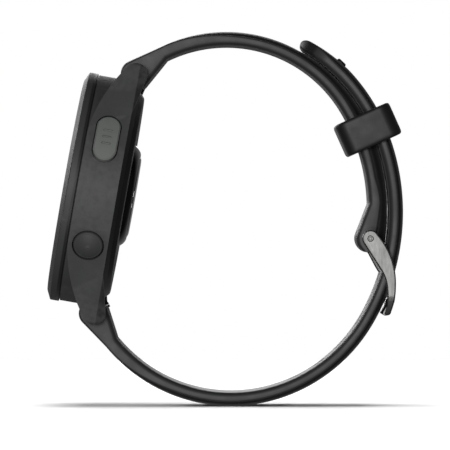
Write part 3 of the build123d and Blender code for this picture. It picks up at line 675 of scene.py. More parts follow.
FINISHES = (
    # The case's band is painted shade: the back bevel is coloured darker.
    Finish("case_polymer", "case_polymer", band=case_back_painted_shade, band_color=(0.012, 0.012, 0.0125),
           band_roughness=0.5, wear_color=(0.12, 0.12, 0.12), wear_amount=0.35, dust=0.1, **POLYMER),
    # The bezel's band is painted shade: a darker strip next to the seam.
    Finish("bezel_polymer", "bezel_polymer", band=bezel_seam_painted_shade, band_color=(0.022, 0.022, 0.023),
           band_roughness=0.4, wear_color=(0.13, 0.13, 0.13), wear_amount=0.4,
           **{**POLYMER, "roughness": 0.5}),
    Finish("button_polymer", "button_polymer", wear_color=(0.12, 0.12, 0.12), wear_amount=0.3, **POLYMER),
    Finish("start_button_grey", "start_button_grey", (0.165, 0.175, 0.164), (0.15, 0.159, 0.149), 0.55,
           0.06, relief=0.006, relief_strength=0.3, wear_color=(0.2, 0.2, 0.2), wear_amount=0.3,
           specular=0.35),
    Finish("back_polymer", "back_polymer", (0.014, 0.014, 0.015), (0.01, 0.01, 0.011), 0.42, 0.06,
           grain=Grain.TURNED, relief=0.003, relief_strength=0.3, dust=0.1),
    Finish("sensor_polymer", "sensor_polymer", (0.009, 0.009, 0.01), (0.007, 0.007, 0.008), 0.2, 0.05,
           relief=0.002, relief_strength=0.15, coat=0.4),
    Finish("sensor_glass", "sensor_glass", (0.006, 0.006, 0.008), (0.005, 0.005, 0.006), 0.1, 0.03,
           relief=0.001, relief_strength=0.1, coat=0.6, band=sensor_bands, band_color=(0.05, 0.055, 0.05),
           band_roughness=0.16),
    Finish("lens_glass", "lens_glass", (0.9, 0.92, 0.93), (0.86, 0.88, 0.9), 0.05, 0.02, relief=0.0005,
           relief_strength=0.05, transmission=1.0, ior=1.52, band=lens_bands, band_color=(0.001, 0.001, 0.001),
           band_roughness=0.05),
    Finish("display_black", "display_black", (0.012, 0.013, 0.014), (0.008, 0.009, 0.01), 0.25, 0.05,
           relief=0.001, relief_strength=0.1, coat=0.3, band=display_bands,
           band_color=(0.0025, 0.0025, 0.003), band_roughness=0.15),
    Finish("seal_rubber", "seal_rubber", (0.012, 0.012, 0.012), (0.008, 0.008, 0.008), 0.65, 0.08,
           grain=Grain.SILICONE, relief=0.003, relief_strength=0.3),
    # The strap's band is painted shade: the faces between the side walls are coloured darker.
    Finish("strap_silicone", "strap_silicone", band=strap_crown_painted_shade, band_color=(0.009, 0.009, 0.0095),
           band_roughness=0.5, **SILICONE),
    # Painted shade: the keeper is the straps' silicone coloured darker, standing in for the shade on it.
    Finish("keeper_silicone", "keeper_silicone",
           **{**SILICONE, "color": (0.012, 0.012, 0.0125), "shade": (0.009, 0.009, 0.0095)}),
    Finish("buckle_steel", "buckle_steel", squeeze=(0.5, 1.0, 0.08), wear_color=(0.75, 0.75, 0.74),
           wear_amount=0.7, anisotropic=0.3, **STEEL),
    Finish("pin_steel", "pin_steel", squeeze=(1.0, 0.06, 1.0), **STEEL),
    Finish("bar_steel", "bar_steel", squeeze=(1.0, 0.06, 1.0),
           **{**STEEL, "color": (0.6, 0.6, 0.6), "roughness": 0.28}),
    Finish("clip_steel", "clip_steel", **{**STEEL, "color": (0.5, 0.5, 0.5)}),
    Finish("screw_steel", "screw_steel", (0.2, 0.2, 0.21), (0.14, 0.14, 0.15), 0.35, 0.06, 1.0,
           grain=Grain.TURNED, relief=0.002, wear_color=(0.5, 0.5, 0.5)),
    Finish("motor_steel", "motor_steel", **{**STEEL, "color": (0.55, 0.55, 0.55)}),
    Finish("shield_tin", "shield_tin", (0.62, 0.62, 0.6), (0.5, 0.5, 0.49), 0.32, 0.08, 1.0,
           grain=Grain.BRUSHED, squeeze=(1.0, 0.1, 1.0), relief=0.002),
    Finish("antenna_copper", "antenna_copper", (0.72, 0.42, 0.25), (0.6, 0.33, 0.2), 0.3, 0.08, 1.0,
           grain=Grain.BRUSHED, relief=0.002),
    Finish("contact_gold", "contact_gold", (0.83, 0.62, 0.25), (0.7, 0.5, 0.2), 0.25, 0.06, 1.0,
           grain=Grain.TURNED, relief=0.001),
    Finish("board_green", "board_green", (0.01, 0.09, 0.04), (0.008, 0.06, 0.03), 0.35, 0.08, relief=0.003),
    Finish("flex_amber", "flex_amber", (0.5, 0.22, 0.03), (0.4, 0.17, 0.02), 0.4, 0.08, relief=0.002),
    Finish("frame_polymer", "frame_polymer", (0.06, 0.06, 0.065), (0.045, 0.045, 0.05), 0.55, 0.08),
    Finish("battery_wrap", "battery_wrap", (0.35, 0.36, 0.37), (0.28, 0.29, 0.3), 0.3, 0.08, 0.6,
           relief=0.004),
    Finish("led_white", "led_white", (0.7, 0.7, 0.6), (0.6, 0.6, 0.5), 0.25, 0.05, relief=0.001),
    Finish("socket_polymer", "socket_polymer", (0.011, 0.011, 0.012), (0.008, 0.008, 0.009), 0.45, 0.06),
)


@dataclass
class Wardrobe:
    """Holds the finished materials, and dresses pieces with them."""

    groups: ShaderGroups = field(default_factory=ShaderGroups)
    materials: dict[str, bpy.types.Material] = field(default_factory=dict)

    def __post_init__(self) -> None:
        """Build every finish."""
        for finish in FINISHES:
            self.materials[finish.slot] = finish.build(self.groups)

    def dress(self, piece: bpy.types.Object, slot: str) -> None:
        """Give a piece the finish of a slot, on every face."""
        piece.data.materials.clear()
        piece.data.materials.append(self.materials[slot])
        for face in piece.data.polygons:
            face.material_index = 0

    def dress_nodes(self) -> None:
        """Put a finish on every CAD node, in its own material slots."""
        for entry in frame["record"]["subparts"]:
            node = frame["nodes"][entry["node"]]
            for place in node.material_slots:
                place.material = self.materials[entry["material_slot"]]
            log.info("node %s dressed in %s", entry["node"], entry["material_slot"])


def place_piece(piece: bpy.types.Object, body: str, nodes: Sequence[str] = ()) -> None:
    """Let a piece ride on a body, and stand for some CAD nodes."""
    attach(piece, body)
    if nodes:
        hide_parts(*nodes)
    log.info("piece %s rides on %s: %d faces", piece.name, body, len(piece.data.polygons))


# ---- strap ----------------------------------------------------------------------------------
@dataclass(frozen=True)
class StrapLine:
    """Side line of a strap: tangent arcs, from its root to its end, in millimetres."""

    start: Point2
    heading: float
    bends: tuple[Point2, ...]
    turn: int
    thick: float = 2.6

    @property
    def length(self) -> float:
        """Length along the middle of the thickness."""
        return sum((radius + self.thick / 2) * math.radians(swing) for radius, swing in self.bends)

    def locate(self, along: float, rise: float) -> Vector:
        """A point of the XZ plane.

        Args:
            along: Distance along the middle line.
            rise: Height above the wrist side.

        Returns:
            X and Z.
        """
        base = Vector(self.start)
        angle = self.heading
        left = along
        for i, (radius, swing) in enumerate(self.bends):
            middle = radius + self.thick / 2
            part = min(left / middle, math.radians(swing)) if i < len(self.bends) - 1 else left / middle
            toward = math.radians(angle + self.turn * 90)
            centre = base + Vector((math.cos(toward), math.sin(toward))) * radius
            spin = toward + math.pi + self.turn * part
            away = Vector((math.cos(spin), math.sin(spin)))
            if part < math.radians(swing) - 1e-9 or i == len(self.bends) - 1:
                return centre + away * (radius + rise)
            base = centre + away * radius
            angle += self.turn * swing
            left -= middle * math.radians(swing)
        return base

    def run(self, along: float) -> Vector:
        """Unit direction of the strap there."""
        step = 0.01
        behind = self.locate(max(along - step, 0.0), self.thick / 2)
        return (self.locate(along + step, self.thick / 2) - behind).normalized()


@dataclass(frozen=True)
class Station:
    """One cross-section: wrist and outer points in XZ, half width, and how high the side wall is."""

    inner: Vector
    outer: Vector
    half: float
    wall: float


@dataclass
class StrapShape:
    """Cross-sections of a silicone strap with side walls and a raised crown between them."""

    line: StrapLine
    half_width: float = 10.0
    crown_inset: float = 1.1
    crown_round: float = 3.2
    wall: float = 0.66
    wall_end: float = 0.96
    fade: float = 15.0

    def section(self, station: Station) -> list[Vector]:
        """Closed loop of points round the strap at a station."""
        thick = (station.outer - station.inner).length
        k = min(1.0, thick / self.line.thick)
        half, wall = station.half, station.wall * thick
        crown = half - self.crown_inset * min(1.0, k * 1.2)
        rise = thick - wall
        side = [
            (0.0, 0.0), (half * 0.3, 0.0), (half * 0.6, 0.0), (half - 1.6 * k, 0.0), (half - 0.95 * k, 0.02 * k),
            (half - 0.55 * k, 0.12 * k), (half - 0.22 * k, 0.33 * k), (half - 0.05 * k, 0.62 * k),
            (half, 0.92 * k), (half, (0.92 * k + wall - 0.3 * k) / 2), (half, wall - 0.3 * k),
            (half - 0.04 * k, wall - 0.14 * k), (half - 0.15 * k, wall - 0.03 * k), (half - 0.3 * k, wall),
            (crown + 0.34 * k, wall), (crown + 0.16 * k, wall - 0.1 * k * min(1.0, rise / 0.5)),
            *((crown - self.crown_round * k * (1 - math.cos(turn)), wall + rise * math.sin(turn))
              for turn in (math.radians(t) for t in (0, 8, 17, 28, 40, 53, 66, 78))),
            (crown - self.crown_round * k, thick), (half * 0.42, thick), (half * 0.2, thick), (0.0, thick),
        ]
        loop = side + [(-y, t) for y, t in side[-2:0:-1]]
        return [Vector((0.0, y, 0.0)) + self.at(station, t / thick) for y, t in loop]

    @staticmethod
    def at(station: Station, share: float) -> Vector:
        """Point of the station's line as a 3-D vector with Y at 0."""
        spot = station.inner + (station.outer - station.inner) * share
        return Vector((spot.x, 0.0, spot.y))

    def wall_at(self, along: float) -> float:
        """Share of the thickness that the side wall takes, higher next to the root."""
        t = min(1.0, max(0.0, along / self.fade))
        return self.wall_end + (self.wall - self.wall_end) * (t * t * (3 - 2 * t))

    def root_stations(self, circles: Sequence[tuple[Vector, float]], inner: Vector, outer: Vector,
                      wall: float = 0.96, count: int = 34) -> list[Station]:
        """Stations round the hull of the strap's end and one or two circles.

        Args:
            circles: Centre and radius of the round end, then of any lip.
            inner: Wrist point where the full strap ends.
            outer: Outer point where the full strap ends.
            wall: Share of the thickness that the side wall takes.
            count: Number of stations.

        Returns:
            Stations from the strap outwards.
        """
        cloud = [inner, outer]
        for centre, radius in circles:
            cloud += [centre + Vector((math.cos(turn), math.sin(turn))) * radius
                      for turn in (math.tau * k / 120 for k in range(120))]
        loop = [cloud[i] for i in convex_hull_2d(cloud)]
        first = loop.index(inner)
        forward = [loop[(first + k) % len(loop)] for k in range(len(loop))]
        cut = forward.index(outer)
        long_way, short_way = forward[:cut + 1], [forward[0], *forward[:cut - 1:-1]]
        path = long_way if len(long_way) > len(short_way) else short_way
        away = (circles[0][0] - (inner + outer) / 2).normalized()
        middle = max(range(len(path)), key=lambda i: path[i].dot(away))
        wrist, crown = path[:middle + 1], path[:middle - 1:-1]
        stations = []
        for k in range(1, count + 1):
            share = ROOT_REACH * k / count
            stations.append(Station(part_way(wrist, share), part_way(crown, share), self.half_width, wall))
        return stations


def part_way(path: Sequence[Vector], share: float) -> Vector:
    """Point at a share of a polyline's length."""
    steps = [(b - a).length for a, b in zip(path, path[1:])]
    left = share * sum(steps)
    for a, b, step in zip(path, path[1:], steps):
        if left <= step:
            return a.lerp(b, left / max(step, 1e-9))
        left -= step
    return path[-1].copy()


def prism(bm: bmesh.types.BMesh, middle: Vector, run: Vector, across: Vector, deep: Vector,
          outline: Sequence[Point2], reach: float) -> None:
    """A cutting block with a plan outline.

    Args:
        bm: The mesh that takes the block.
        middle: Its centre.
        run: Unit direction of the outline's first axis.
        across: Unit direction of the outline's second axis.
        deep: Unit direction through the block.
        outline: The plan's corners.
        reach: How far the block goes each way along deep.
    """
    rings = [[middle + run * a + across * b + deep * d for a, b in outline] for d in (-reach, reach)]
    skin(bm, rings)


def slot_outline(length: float, width: float, steps: int = 10) -> list[Point2]:
    """Outline of an oblong with round ends, long along its first axis."""
    radius, straight = width / 2, (length - width) / 2
    made = []
    for end, start in ((1, -90), (-1, 90)):
        for k in range(steps + 1):
            turn = math.radians(start + 180 * k / steps)
            made.append((end * straight + radius * math.cos(turn), radius * math.sin(turn)))
    return made


def box_outline(length: float, width: float) -> list[Point2]:
    """Corners of a rectangle about its middle."""
    return [(-length / 2, -width / 2), (length / 2, -width / 2),
            (length / 2, width / 2), (-length / 2, width / 2)]


def flat(spot: Vector, y: float = 0.0) -> Vector:
    """A 3-D point from X and Z."""
    return Vector((spot.x, y, spot.y))


@dataclass
class Straps:
    """Both silicone straps: the upper one holds the buckle, the lower one has the holes."""

    wardrobe: Wardrobe
    upper: StrapLine = StrapLine((-10.73, 64.34), 26.2, ((24.9, 85.8), (35.4, 28.9)), -1)
    lower: StrapLine = StrapLine((-20.01, 12.61), -50.7,
                                 ((27.3, 69.7), (28.3, 40.9), (38.6, 53.0), (31.9, 38.1)), 1)
    step: float = 0.6
    root_radius: float = 2.45
    boss_radius: float = 2.65
    lip_radius: float = 0.45
    strap_gap: float = 0.35
    fill_shifts: tuple[float, ...] = (-4.0, -2.6, -1.2, 0.0, 1.2)
    bar_bore: float = 0.95
    pin_bore: float = 0.6
    pin_reach: float = 6.5
    pin_out: float = 0.14
    hole: Point2 = (3.0, 2.4)
    pitch: float = 5.6
    tongue_station: float = 60.6
    tip_round: float = 8.0
    stop_place: float = 8.2

    @property
    def pin(self) -> Vector:
        """X and Z of the buckle's pin."""
        end = self.upper.length
        inner, outer = self.upper.locate(end, 0.0), self.upper.locate(end, self.upper.thick)
        return inner + self.upper.run(end) * self.pin_reach + (outer - inner).normalized() * self.pin_out

    def thick_at(self, along: float) -> float:
        """Thickness of the upper strap, which swells softly up to the strap that lies on it."""
        line, over = self.upper, self.lower
        foot, run = line.locate(along, 0.0), line.run(along)
        out = (line.locate(along, line.thick) - foot).normalized()
        highest = line.thick
        before: Optional[tuple[float, float]] = None
        for k in range(int(over.length * 2) + 1):
            gap = over.locate(k / 2, 0.0) - foot
            here = (gap.dot(run), gap.dot(out))
            if before is not None and before[0] * here[0] <= 0.0:
                share = before[0] / (before[0] - here[0] + 1e-12)
                rise = before[1] + (here[1] - before[1]) * share
                if 0.0 < rise < 6.0:
                    highest = max(highest, rise - self.strap_gap)
            before = here
        return highest

    def bore(self, bm: bmesh.types.BMesh, spot: Vector, radius: float, half: float = 12.0) -> None:
        """Add a round cutter along Y."""
        outline = [(radius * math.cos(math.tau * k / 48), radius * math.sin(math.tau * k / 48))
                   for k in range(48)]
        prism(bm, flat(spot), Vector((1, 0, 0)), Vector((0, 0, 1)), Vector((0, 1, 0)), outline, half)

    def lever_notch(self, bm: bmesh.types.BMesh, side: int, spot: Vector) -> None:
        """Add the cutter for a quick-release lever's pocket."""
        lean = 0.8
        way = CASE.out * -lean - CASE.up * (side * math.sqrt(1 - lean * lean))
        across = Vector((0, 1, 0))
        middle = Vector((spot.x, -6.3 + 1.15 / 2, spot.y)) + way * 3.0
        prism(bm, middle, across, way.cross(across), way, box_outline(3.15, 1.9), 3.0)

    def make_upper(self) -> bpy.types.Object:
        """The short strap between the upper lugs and the buckle."""
        line, shape = self.upper, StrapShape(self.upper, fade=17.0)
        count = int(line.length / self.step)
        stations = []
        for k in range(count + 1):
            along = line.length * k / count
            wall = max(shape.wall_at(along), shape.wall_at((line.length - along) * 2.2) - 0.1)
            thick = self.thick_at(along)
            stations.append(Station(line.locate(along, 0.0), line.locate(along, thick), shape.half_width,
                                    wall * line.thick / thick))
        bar = Vector(CASE.bar(1))
        root = shape.root_stations([(bar + Vector((-0.25, 0.35)), self.root_radius),
                                    (bar + Vector((1.5, -1.85)), self.lip_radius)],
                                   stations[0].inner, stations[0].outer)
        last = stations[-1]
        run = line.run(line.length)
        circles = [(self.pin, self.boss_radius)]
        over = [self.lower.locate(k / 4, 0.0) for k in range(int(self.lower.length * 4))]
        for shift in self.fill_shifts:
            middle = self.pin + run * shift
            near = min(over, key=lambda spot: (spot - middle).length)
            stand = (middle - near).normalized() * (self.strap_gap + self.lip_radius)
            circles.append((near + stand, self.lip_radius))
        boss = shape.root_stations(circles, last.inner, last.outer, wall=last.wall)
        bm = bmesh.new()
        skin(bm, [shape.section(s) for s in [*root[::-1], *stations, *boss]])
        piece = mesh_object("strap_upper_silicone", bm)
        cutter = bmesh.new()
        self.bore(cutter, bar, self.bar_bore)
        self.bore(cutter, self.pin, self.pin_bore)
        carve(piece, mesh_object("bores", cutter))
        cutter = bmesh.new()
        self.lever_notch(cutter, 1, bar)
        prism(cutter, flat(self.pin + Vector((0, -1.6))), Vector((1, 0, 0)), Vector((0, 0, 1)), Vector((0, 1, 0)),
              box_outline(8.0, 6.4), 1.15)
        carve(piece, mesh_object("pockets", cutter))
        self.wardrobe.dress(piece, "strap_silicone")
        place_piece(piece, "strap_upper", ["strap_upper"])
        return piece

    def tip_station(self, shape: StrapShape, along: float) -> Station:
        """Station of the lower strap, narrowing and thinning to its rounded tip."""
        line, end = self.lower, self.lower.length
        into = along - (end - self.tip_round)
        half = shape.half_width
        if into > 0:
            half = min(half, math.sqrt(max((half + 0.2) ** 2 - into**2, 1.0)))
        last = 1.5
        thin = 1.0
        if along > end - last:
            t = (along - (end - last)) / last
            thin = math.sqrt(max(1 - t * t, 0.0)) * 0.92 + 0.08
            half -= 0.9 * (1 - thin)
        taper = 1.0 - 0.16 * min(1.0, max(0.0, (into + 2.0) / (self.tip_round + 2.0)))
        low = line.thick / 2 * (1 - thin)
        high = line.thick / 2 * (1 + thin) * taper
        wall = max(shape.wall_at(along), shape.wall_at((end - along) * 2.0 - 1.0))
        return Station(line.locate(along, low), line.locate(along, high), half, wall)

    def make_lower(self) -> bpy.types.Object:
        """The long strap with its holes, from the lower lugs round to the tip."""
        line, shape = self.lower, StrapShape(self.lower, fade=17.0)
        end = line.length
        marks = [k * self.step for k in range(int((end - 2) / self.step))]
        marks += [end - 2.0 + 2.0 * k / 14 for k in range(15)]
        stations = [self.tip_station(shape, along) for along in marks]
        bar = Vector(CASE.bar(-1))
        root = shape.root_stations([(bar + Vector((-0.3, -0.25)), self.root_radius),
                                    (bar + Vector((2.2, 0.55)), self.lip_radius)],
                                   stations[0].inner, stations[0].outer)
        bm = bmesh.new()
        skin(bm, [shape.section(s) for s in [*root[::-1], *stations]])
        piece = mesh_object("strap_lower_silicone", bm)
        across = Vector((0, 1, 0))
        cutter = bmesh.new()
        for count in range(-4, 6):
            along = self.tongue_station + count * self.pitch
            if count and along < end - self.stop_place - 4:
                run = flat(line.run(along))
                prism(cutter, flat(line.locate(along, line.thick / 2)), run, across, run.cross(across),
                      slot_outline(*self.hole), line.thick)
        self.bore(cutter, bar, self.bar_bore)
        carve(piece, mesh_object("holes", cutter))
        crossing = (self.pin + Vector((2.1, -6.0)), self.pin + Vector((4.1, -8.0)))
        way = flat((crossing[1] - crossing[0]).normalized())
        cutter = bmesh.new()
        prism(cutter, flat((crossing[0] + crossing[1]) / 2), across, way.cross(across), way,
              rounded(box_outline(self.hole[1], self.hole[0] + 0.35), 0.6), 3.9)
        self.lever_notch(cutter, -1, bar)
        carve(piece, mesh_object("pocket", cutter))
        self.wardrobe.dress(piece, "strap_silicone")
        place_piece(piece, "strap_lower", ["strap_lower"])
        return piece

    def make_stop(self) -> bpy.types.Object:
        """Low rounded bar across the outer face near the tip."""
        line = self.lower
        along = line.length - self.stop_place
        run, spot = flat(line.run(along)), flat(line.locate(along, line.thick - 0.25))
        up = (flat(line.locate(along, line.thick)) - flat(line.locate(along, 0.0))).normalized()
        profile = rounded([(-1.05, -0.2), (1.05, -0.2), (0.9, 0.55), (-0.9, 0.55)], 0.3, 4)
        bm = bmesh.new()
        rings = []
        half = 7.1
        for y, size in ((-half, 0.35), (-half + 0.12, 0.7), (-half + 0.35, 0.93), (-half + 0.7, 1.0),
                        (half - 0.7, 1.0), (half - 0.35, 0.93), (half - 0.12, 0.7), (half, 0.35)):
            rings.append([spot + Vector((0, y, 0)) + run * (a * size) + up * (b * size) for a, b in profile])
        skin(bm, rings)
        piece = mesh_object("strap_stop_bar", bm)
        self.wardrobe.dress(piece, "strap_silicone")
        place_piece(piece, "strap_lower")
        return piece

    def make(self) -> None:
        """Build both straps and the stop bar."""
        self.make_upper()
        self.make_lower()
        self.make_stop()


@dataclass
class Keeper:
    """Loop that holds the tip of the lower strap."""

    wardrobe: Wardrobe
    line: StrapLine
    station: float = 93.5
    shift: float = 2.0
    half: float = 11.85
    height: float = 11.0
    length: float = 6.3
    wall: float = 1.3
    corner: float = 2.3

    def make(self) -> bpy.types.Object:
        """Sweep the wall's rounded section round the loop."""
        run = flat(self.line.run(self.station))
        foot = flat(self.line.locate(self.station, 0.0))
        out = (flat(self.line.locate(self.station, self.line.thick)) - foot).normalized()
        middle = flat(self.line.locate(self.station, self.line.thick / 2)) - out * self.shift
        across = Vector((0, 1, 0))
        path = []
        high = self.height / 2
        for cy, ct, start in ((1, 1, 0), (-1, 1, 90), (-1, -1, 180), (1, -1, 270)):
            for k in range(9):
                turn = math.radians(start + 90 * k / 8)
                path.append((cy * (self.half - self.corner), ct * (high - self.corner), turn))
        profile = rounded([(0.0, -self.length / 2), (0.0, self.length / 2), (self.wall, self.length / 2),
                           (self.wall, -self.length / 2)], 0.95, 7)
        sag = 0.1
        rings = []
        for y, t, turn in path:
            way = across * math.cos(turn) + out * math.sin(turn)
            centre = middle + across * y + out * t
            rings.append([centre + way * (self.corner - o - sag * (1 - (2 * w / self.length) ** 2) * 0.5)
                          + run * w for o, w in profile])
        bm = bmesh.new()
        skin(bm, rings, closed=True)
        piece = mesh_object("keeper_loop", bm, 50.0)
        self.wardrobe.dress(piece, "keeper_silicone")
        place_piece(piece, "keeper", ["keeper"])
        return piece


@dataclass
class Buckle:
    """Steel buckle: frame with two curved arms and a bar, tongue, and pin."""

    wardrobe: Wardrobe
    pin: Vector
    arm_inner: float = 10.35
    arm_outer: float = 11.85
    pin_radius: float = 0.55
    edge: float = 0.28
    taper_start: float = 10.6
    taper_length: float = 3.4
    taper_depth: float = 0.75

    def from_pin(self, points: Sequence[Point2]) -> list[Point2]:
        """Move points given from the pin into the row frame."""
        return [(self.pin.x + x, self.pin.y + z) for x, z in points]

    def arm_outline(self) -> list[Point2]:
        """Side outline of an arm, from the boss round the pin to the tip under the strap."""
        outline = arc_points((1.38, 0.7), (4.1, -4.2), (4.7, -8.9), 26)
        outline += arc_points((4.7, -8.9), (4.5, -11.2), (3.85, -13.5), 12)
        outline += arc_points((3.85, -13.5), (3.3, -14.2), (2.6, -13.95), 6)
        outline += arc_points((2.6, -13.95), (3.1, -11.5), (3.05, -9.5), 10)
        outline += arc_points((3.05, -9.5), (2.65, -7.3), (1.8, -5.65), 10)
        outline += [(1.8 - 3.05 * k / 12, -5.65 + 4.75 * k / 12) for k in range(12)]
        outline += arc_points((-1.25, -0.9), (-1.42, 0.62), (0.0, 1.55), 12)
        outline += arc_points((0.0, 1.55), (0.83, 1.33), (1.38, 0.7), 5)
        return self.from_pin(outline)

    def taper(self, bm: bmesh.types.BMesh) -> None:
        """Thin the arms on their outer side, more and more towards the tips."""
        for drop in (self.taper_start, 11.5, 12.4, 13.3):
            bmesh.ops.bisect_plane(bm, geom=[*bm.verts, *bm.edges, *bm.faces],
                                   plane_co=(0.0, 0.0, self.pin.y - drop), plane_no=(0.0, 0.0, 1.0))
        for vert in bm.verts:
            below = min(max((self.pin.y - self.taper_start - vert.co.z) / self.taper_length, 0.0), 1.0)
            share = (abs(vert.co.y) - self.arm_inner) / (self.arm_outer - self.arm_inner)
            vert.co.y -= math.copysign(self.taper_depth * below ** 1.3 * share, vert.co.y)

    def make_frame(self) -> bpy.types.Object:
        """Both arms and the bar that joins them, cut for the pin."""
        outline = self.arm_outline()
        bm = bmesh.new()
        for low, high in ((self.arm_inner, self.arm_outer), (-self.arm_outer, -self.arm_inner)):
            plate(bm, outline, low, high, self.edge)
        self.taper(bm)
        piece = mesh_object("buckle_frame_steel", bm, 55.0)
        bar = self.from_pin(rounded([(3.5, -11.0), (2.95, -12.5), (2.15, -13.95), (2.6, -14.3), (3.4, -14.2),
                                     (3.85, -13.5), (4.3, -11.8), (4.25, -11.0)], 0.3, 3))
        bm = bmesh.new()
        plate(bm, bar, -self.arm_inner - 0.3, self.arm_inner + 0.3, 0.1)
        carve(piece, mesh_object("bar", bm), "UNION")
        cutter = bmesh.new()
        ring = [(0.6 * math.cos(math.tau * k / 48), 0.6 * math.sin(math.tau * k / 48)) for k in range(48)]
        prism(cutter, flat(self.pin), Vector((1, 0, 0)), Vector((0, 0, 1)), Vector((0, 1, 0)), ring, 14.0)
        carve(piece, mesh_object("pin_holes", cutter))
        smooth(piece, 55.0)
        self.wardrobe.dress(piece, "buckle_steel")
        place_piece(piece, "buckle", ["buckle_frame"])
        return piece

    def make_pin(self) -> bpy.types.Object:
        """Pin with chamfered ends and a small turned recess in each."""
        half = self.arm_outer - 0.02
        r = self.pin_radius
        profile = [(0.0, -half + 0.12), (0.22, -half + 0.12), (0.3, -half), (r - 0.12, -half), (r, -half + 0.12),
                   (r, half - 0.12), (r - 0.12, half), (0.3, half), (0.22, half - 0.12), (0.0, half - 0.12)]
        bm = bmesh.new()
        turned(bm, profile, flat(self.pin), Vector((0, 1, 0)), Vector((1, 0, 0)), 48)
        piece = mesh_object("buckle_pin_steel", bm)
        self.wardrobe.dress(piece, "pin_steel")
        place_piece(piece, "buckle", ["buckle_pin"])
        return piece

    def make_tongue(self) -> bpy.types.Object:
        """Tongue: a flat bar wrapped round the pin, through the strap and onto the frame's bar."""
        corners = [(-0.55, -1.1), (1.45, -4.9), (2.1, -6.0), (4.1, -8.0), (4.4, -10.8), (4.05, -12.7)]
        line = [Vector(p) for p in corners]
        spots = []
        for i in range(len(line) - 1):
            for k in range(6):
                spots.append(line[i].lerp(line[i + 1], k / 6))
        spots.append(line[-1])
        for _ in range(3):
            middle = [(a + b * 2 + c) / 4 for a, b, c in zip(spots, spots[1:], spots[2:])]
            spots = [spots[0], *middle, spots[-1]]
        bm = bmesh.new()
        rings = []
        for i, spot in enumerate(spots):
            run = (spots[min(i + 1, len(spots) - 1)] - spots[max(i - 1, 0)]).normalized()
            side = Vector((-run.y, run.x))
            thin = 1.0 if i < len(spots) - 3 else (0.9, 0.72, 0.4)[i - len(spots) + 3]
            profile = rounded([(-0.85, -0.5), (0.85, -0.5), (0.85, 0.5), (-0.85, 0.5)], 0.3, 3)
            rings.append([Vector((self.pin.x + spot.x + side.x * b * thin, a * (0.6 + 0.4 * thin),
                                  self.pin.y + spot.y + side.y * b * thin)) for a, b in profile])
        skin(bm, rings)
        piece = mesh_object("buckle_tongue_steel", bm, 50.0)
        bm = bmesh.new()
        turned(bm, rounded([(0.6, -0.85), (1.52, -0.85), (1.52, 0.85), (0.6, 0.85)], 0.2, 3), flat(self.pin),
               Vector((0, 1, 0)), Vector((1, 0, 0)), 48)
        carve(piece, mesh_object("loop", bm), "UNION")
        self.wardrobe.dress(piece, "buckle_steel")
        place_piece(piece, "tongue", ["buckle_tongue"])
        return piece

    def make(self) -> None:
        """Build the frame, pin and tongue."""
        self.make_frame()
        self.make_pin()
        self.make_tongue()


@dataclass
class CaseFront:
    """Bezel ring with its chamfer, neck and seam."""

    wardrobe: Wardrobe
    radius: float = 21.5
    chamfer: Point2 = (1.67, 0.8)
    seam: Point2 = (2.42, 2.62)
    neck: float = 21.05
    lens: float = 19.35

    def make(self) -> bpy.types.Object:
        """Turn the bezel with softened edges."""
        corners = [(self.lens, 0.12), (self.lens + 0.1, 0.0), (self.radius - self.chamfer[0], 0.0),
                   (self.radius, self.chamfer[1]), (self.radius, self.seam[0]), (self.neck, self.seam[0]),
                   (self.neck, self.seam[1]), (19.95, self.seam[1]), (19.95, 3.3), (18.85, 3.3), (18.85, 2.3),
                   (17.8, 2.3), (17.8, 1.35), (self.lens, 1.35)]
        bm = bmesh.new()
        turned(bm, rounded(corners, 0.14, 3), Vector(CASE.centre), CASE.out * -1, CASE.across, 256)
        piece = mesh_object("bezel_ring", bm, 30.0)
        self.wardrobe.dress(piece, "bezel_polymer")
        place_piece(piece, "case", ["bezel"])
        return piece


# ---- studio ---------------------------------------------------------------------------------
@dataclass(frozen=True)
class Softbox:
    """A soft area light that points at the watch."""

    name: str
    place: tuple[float, float, float]
    size: Point2
    power: float


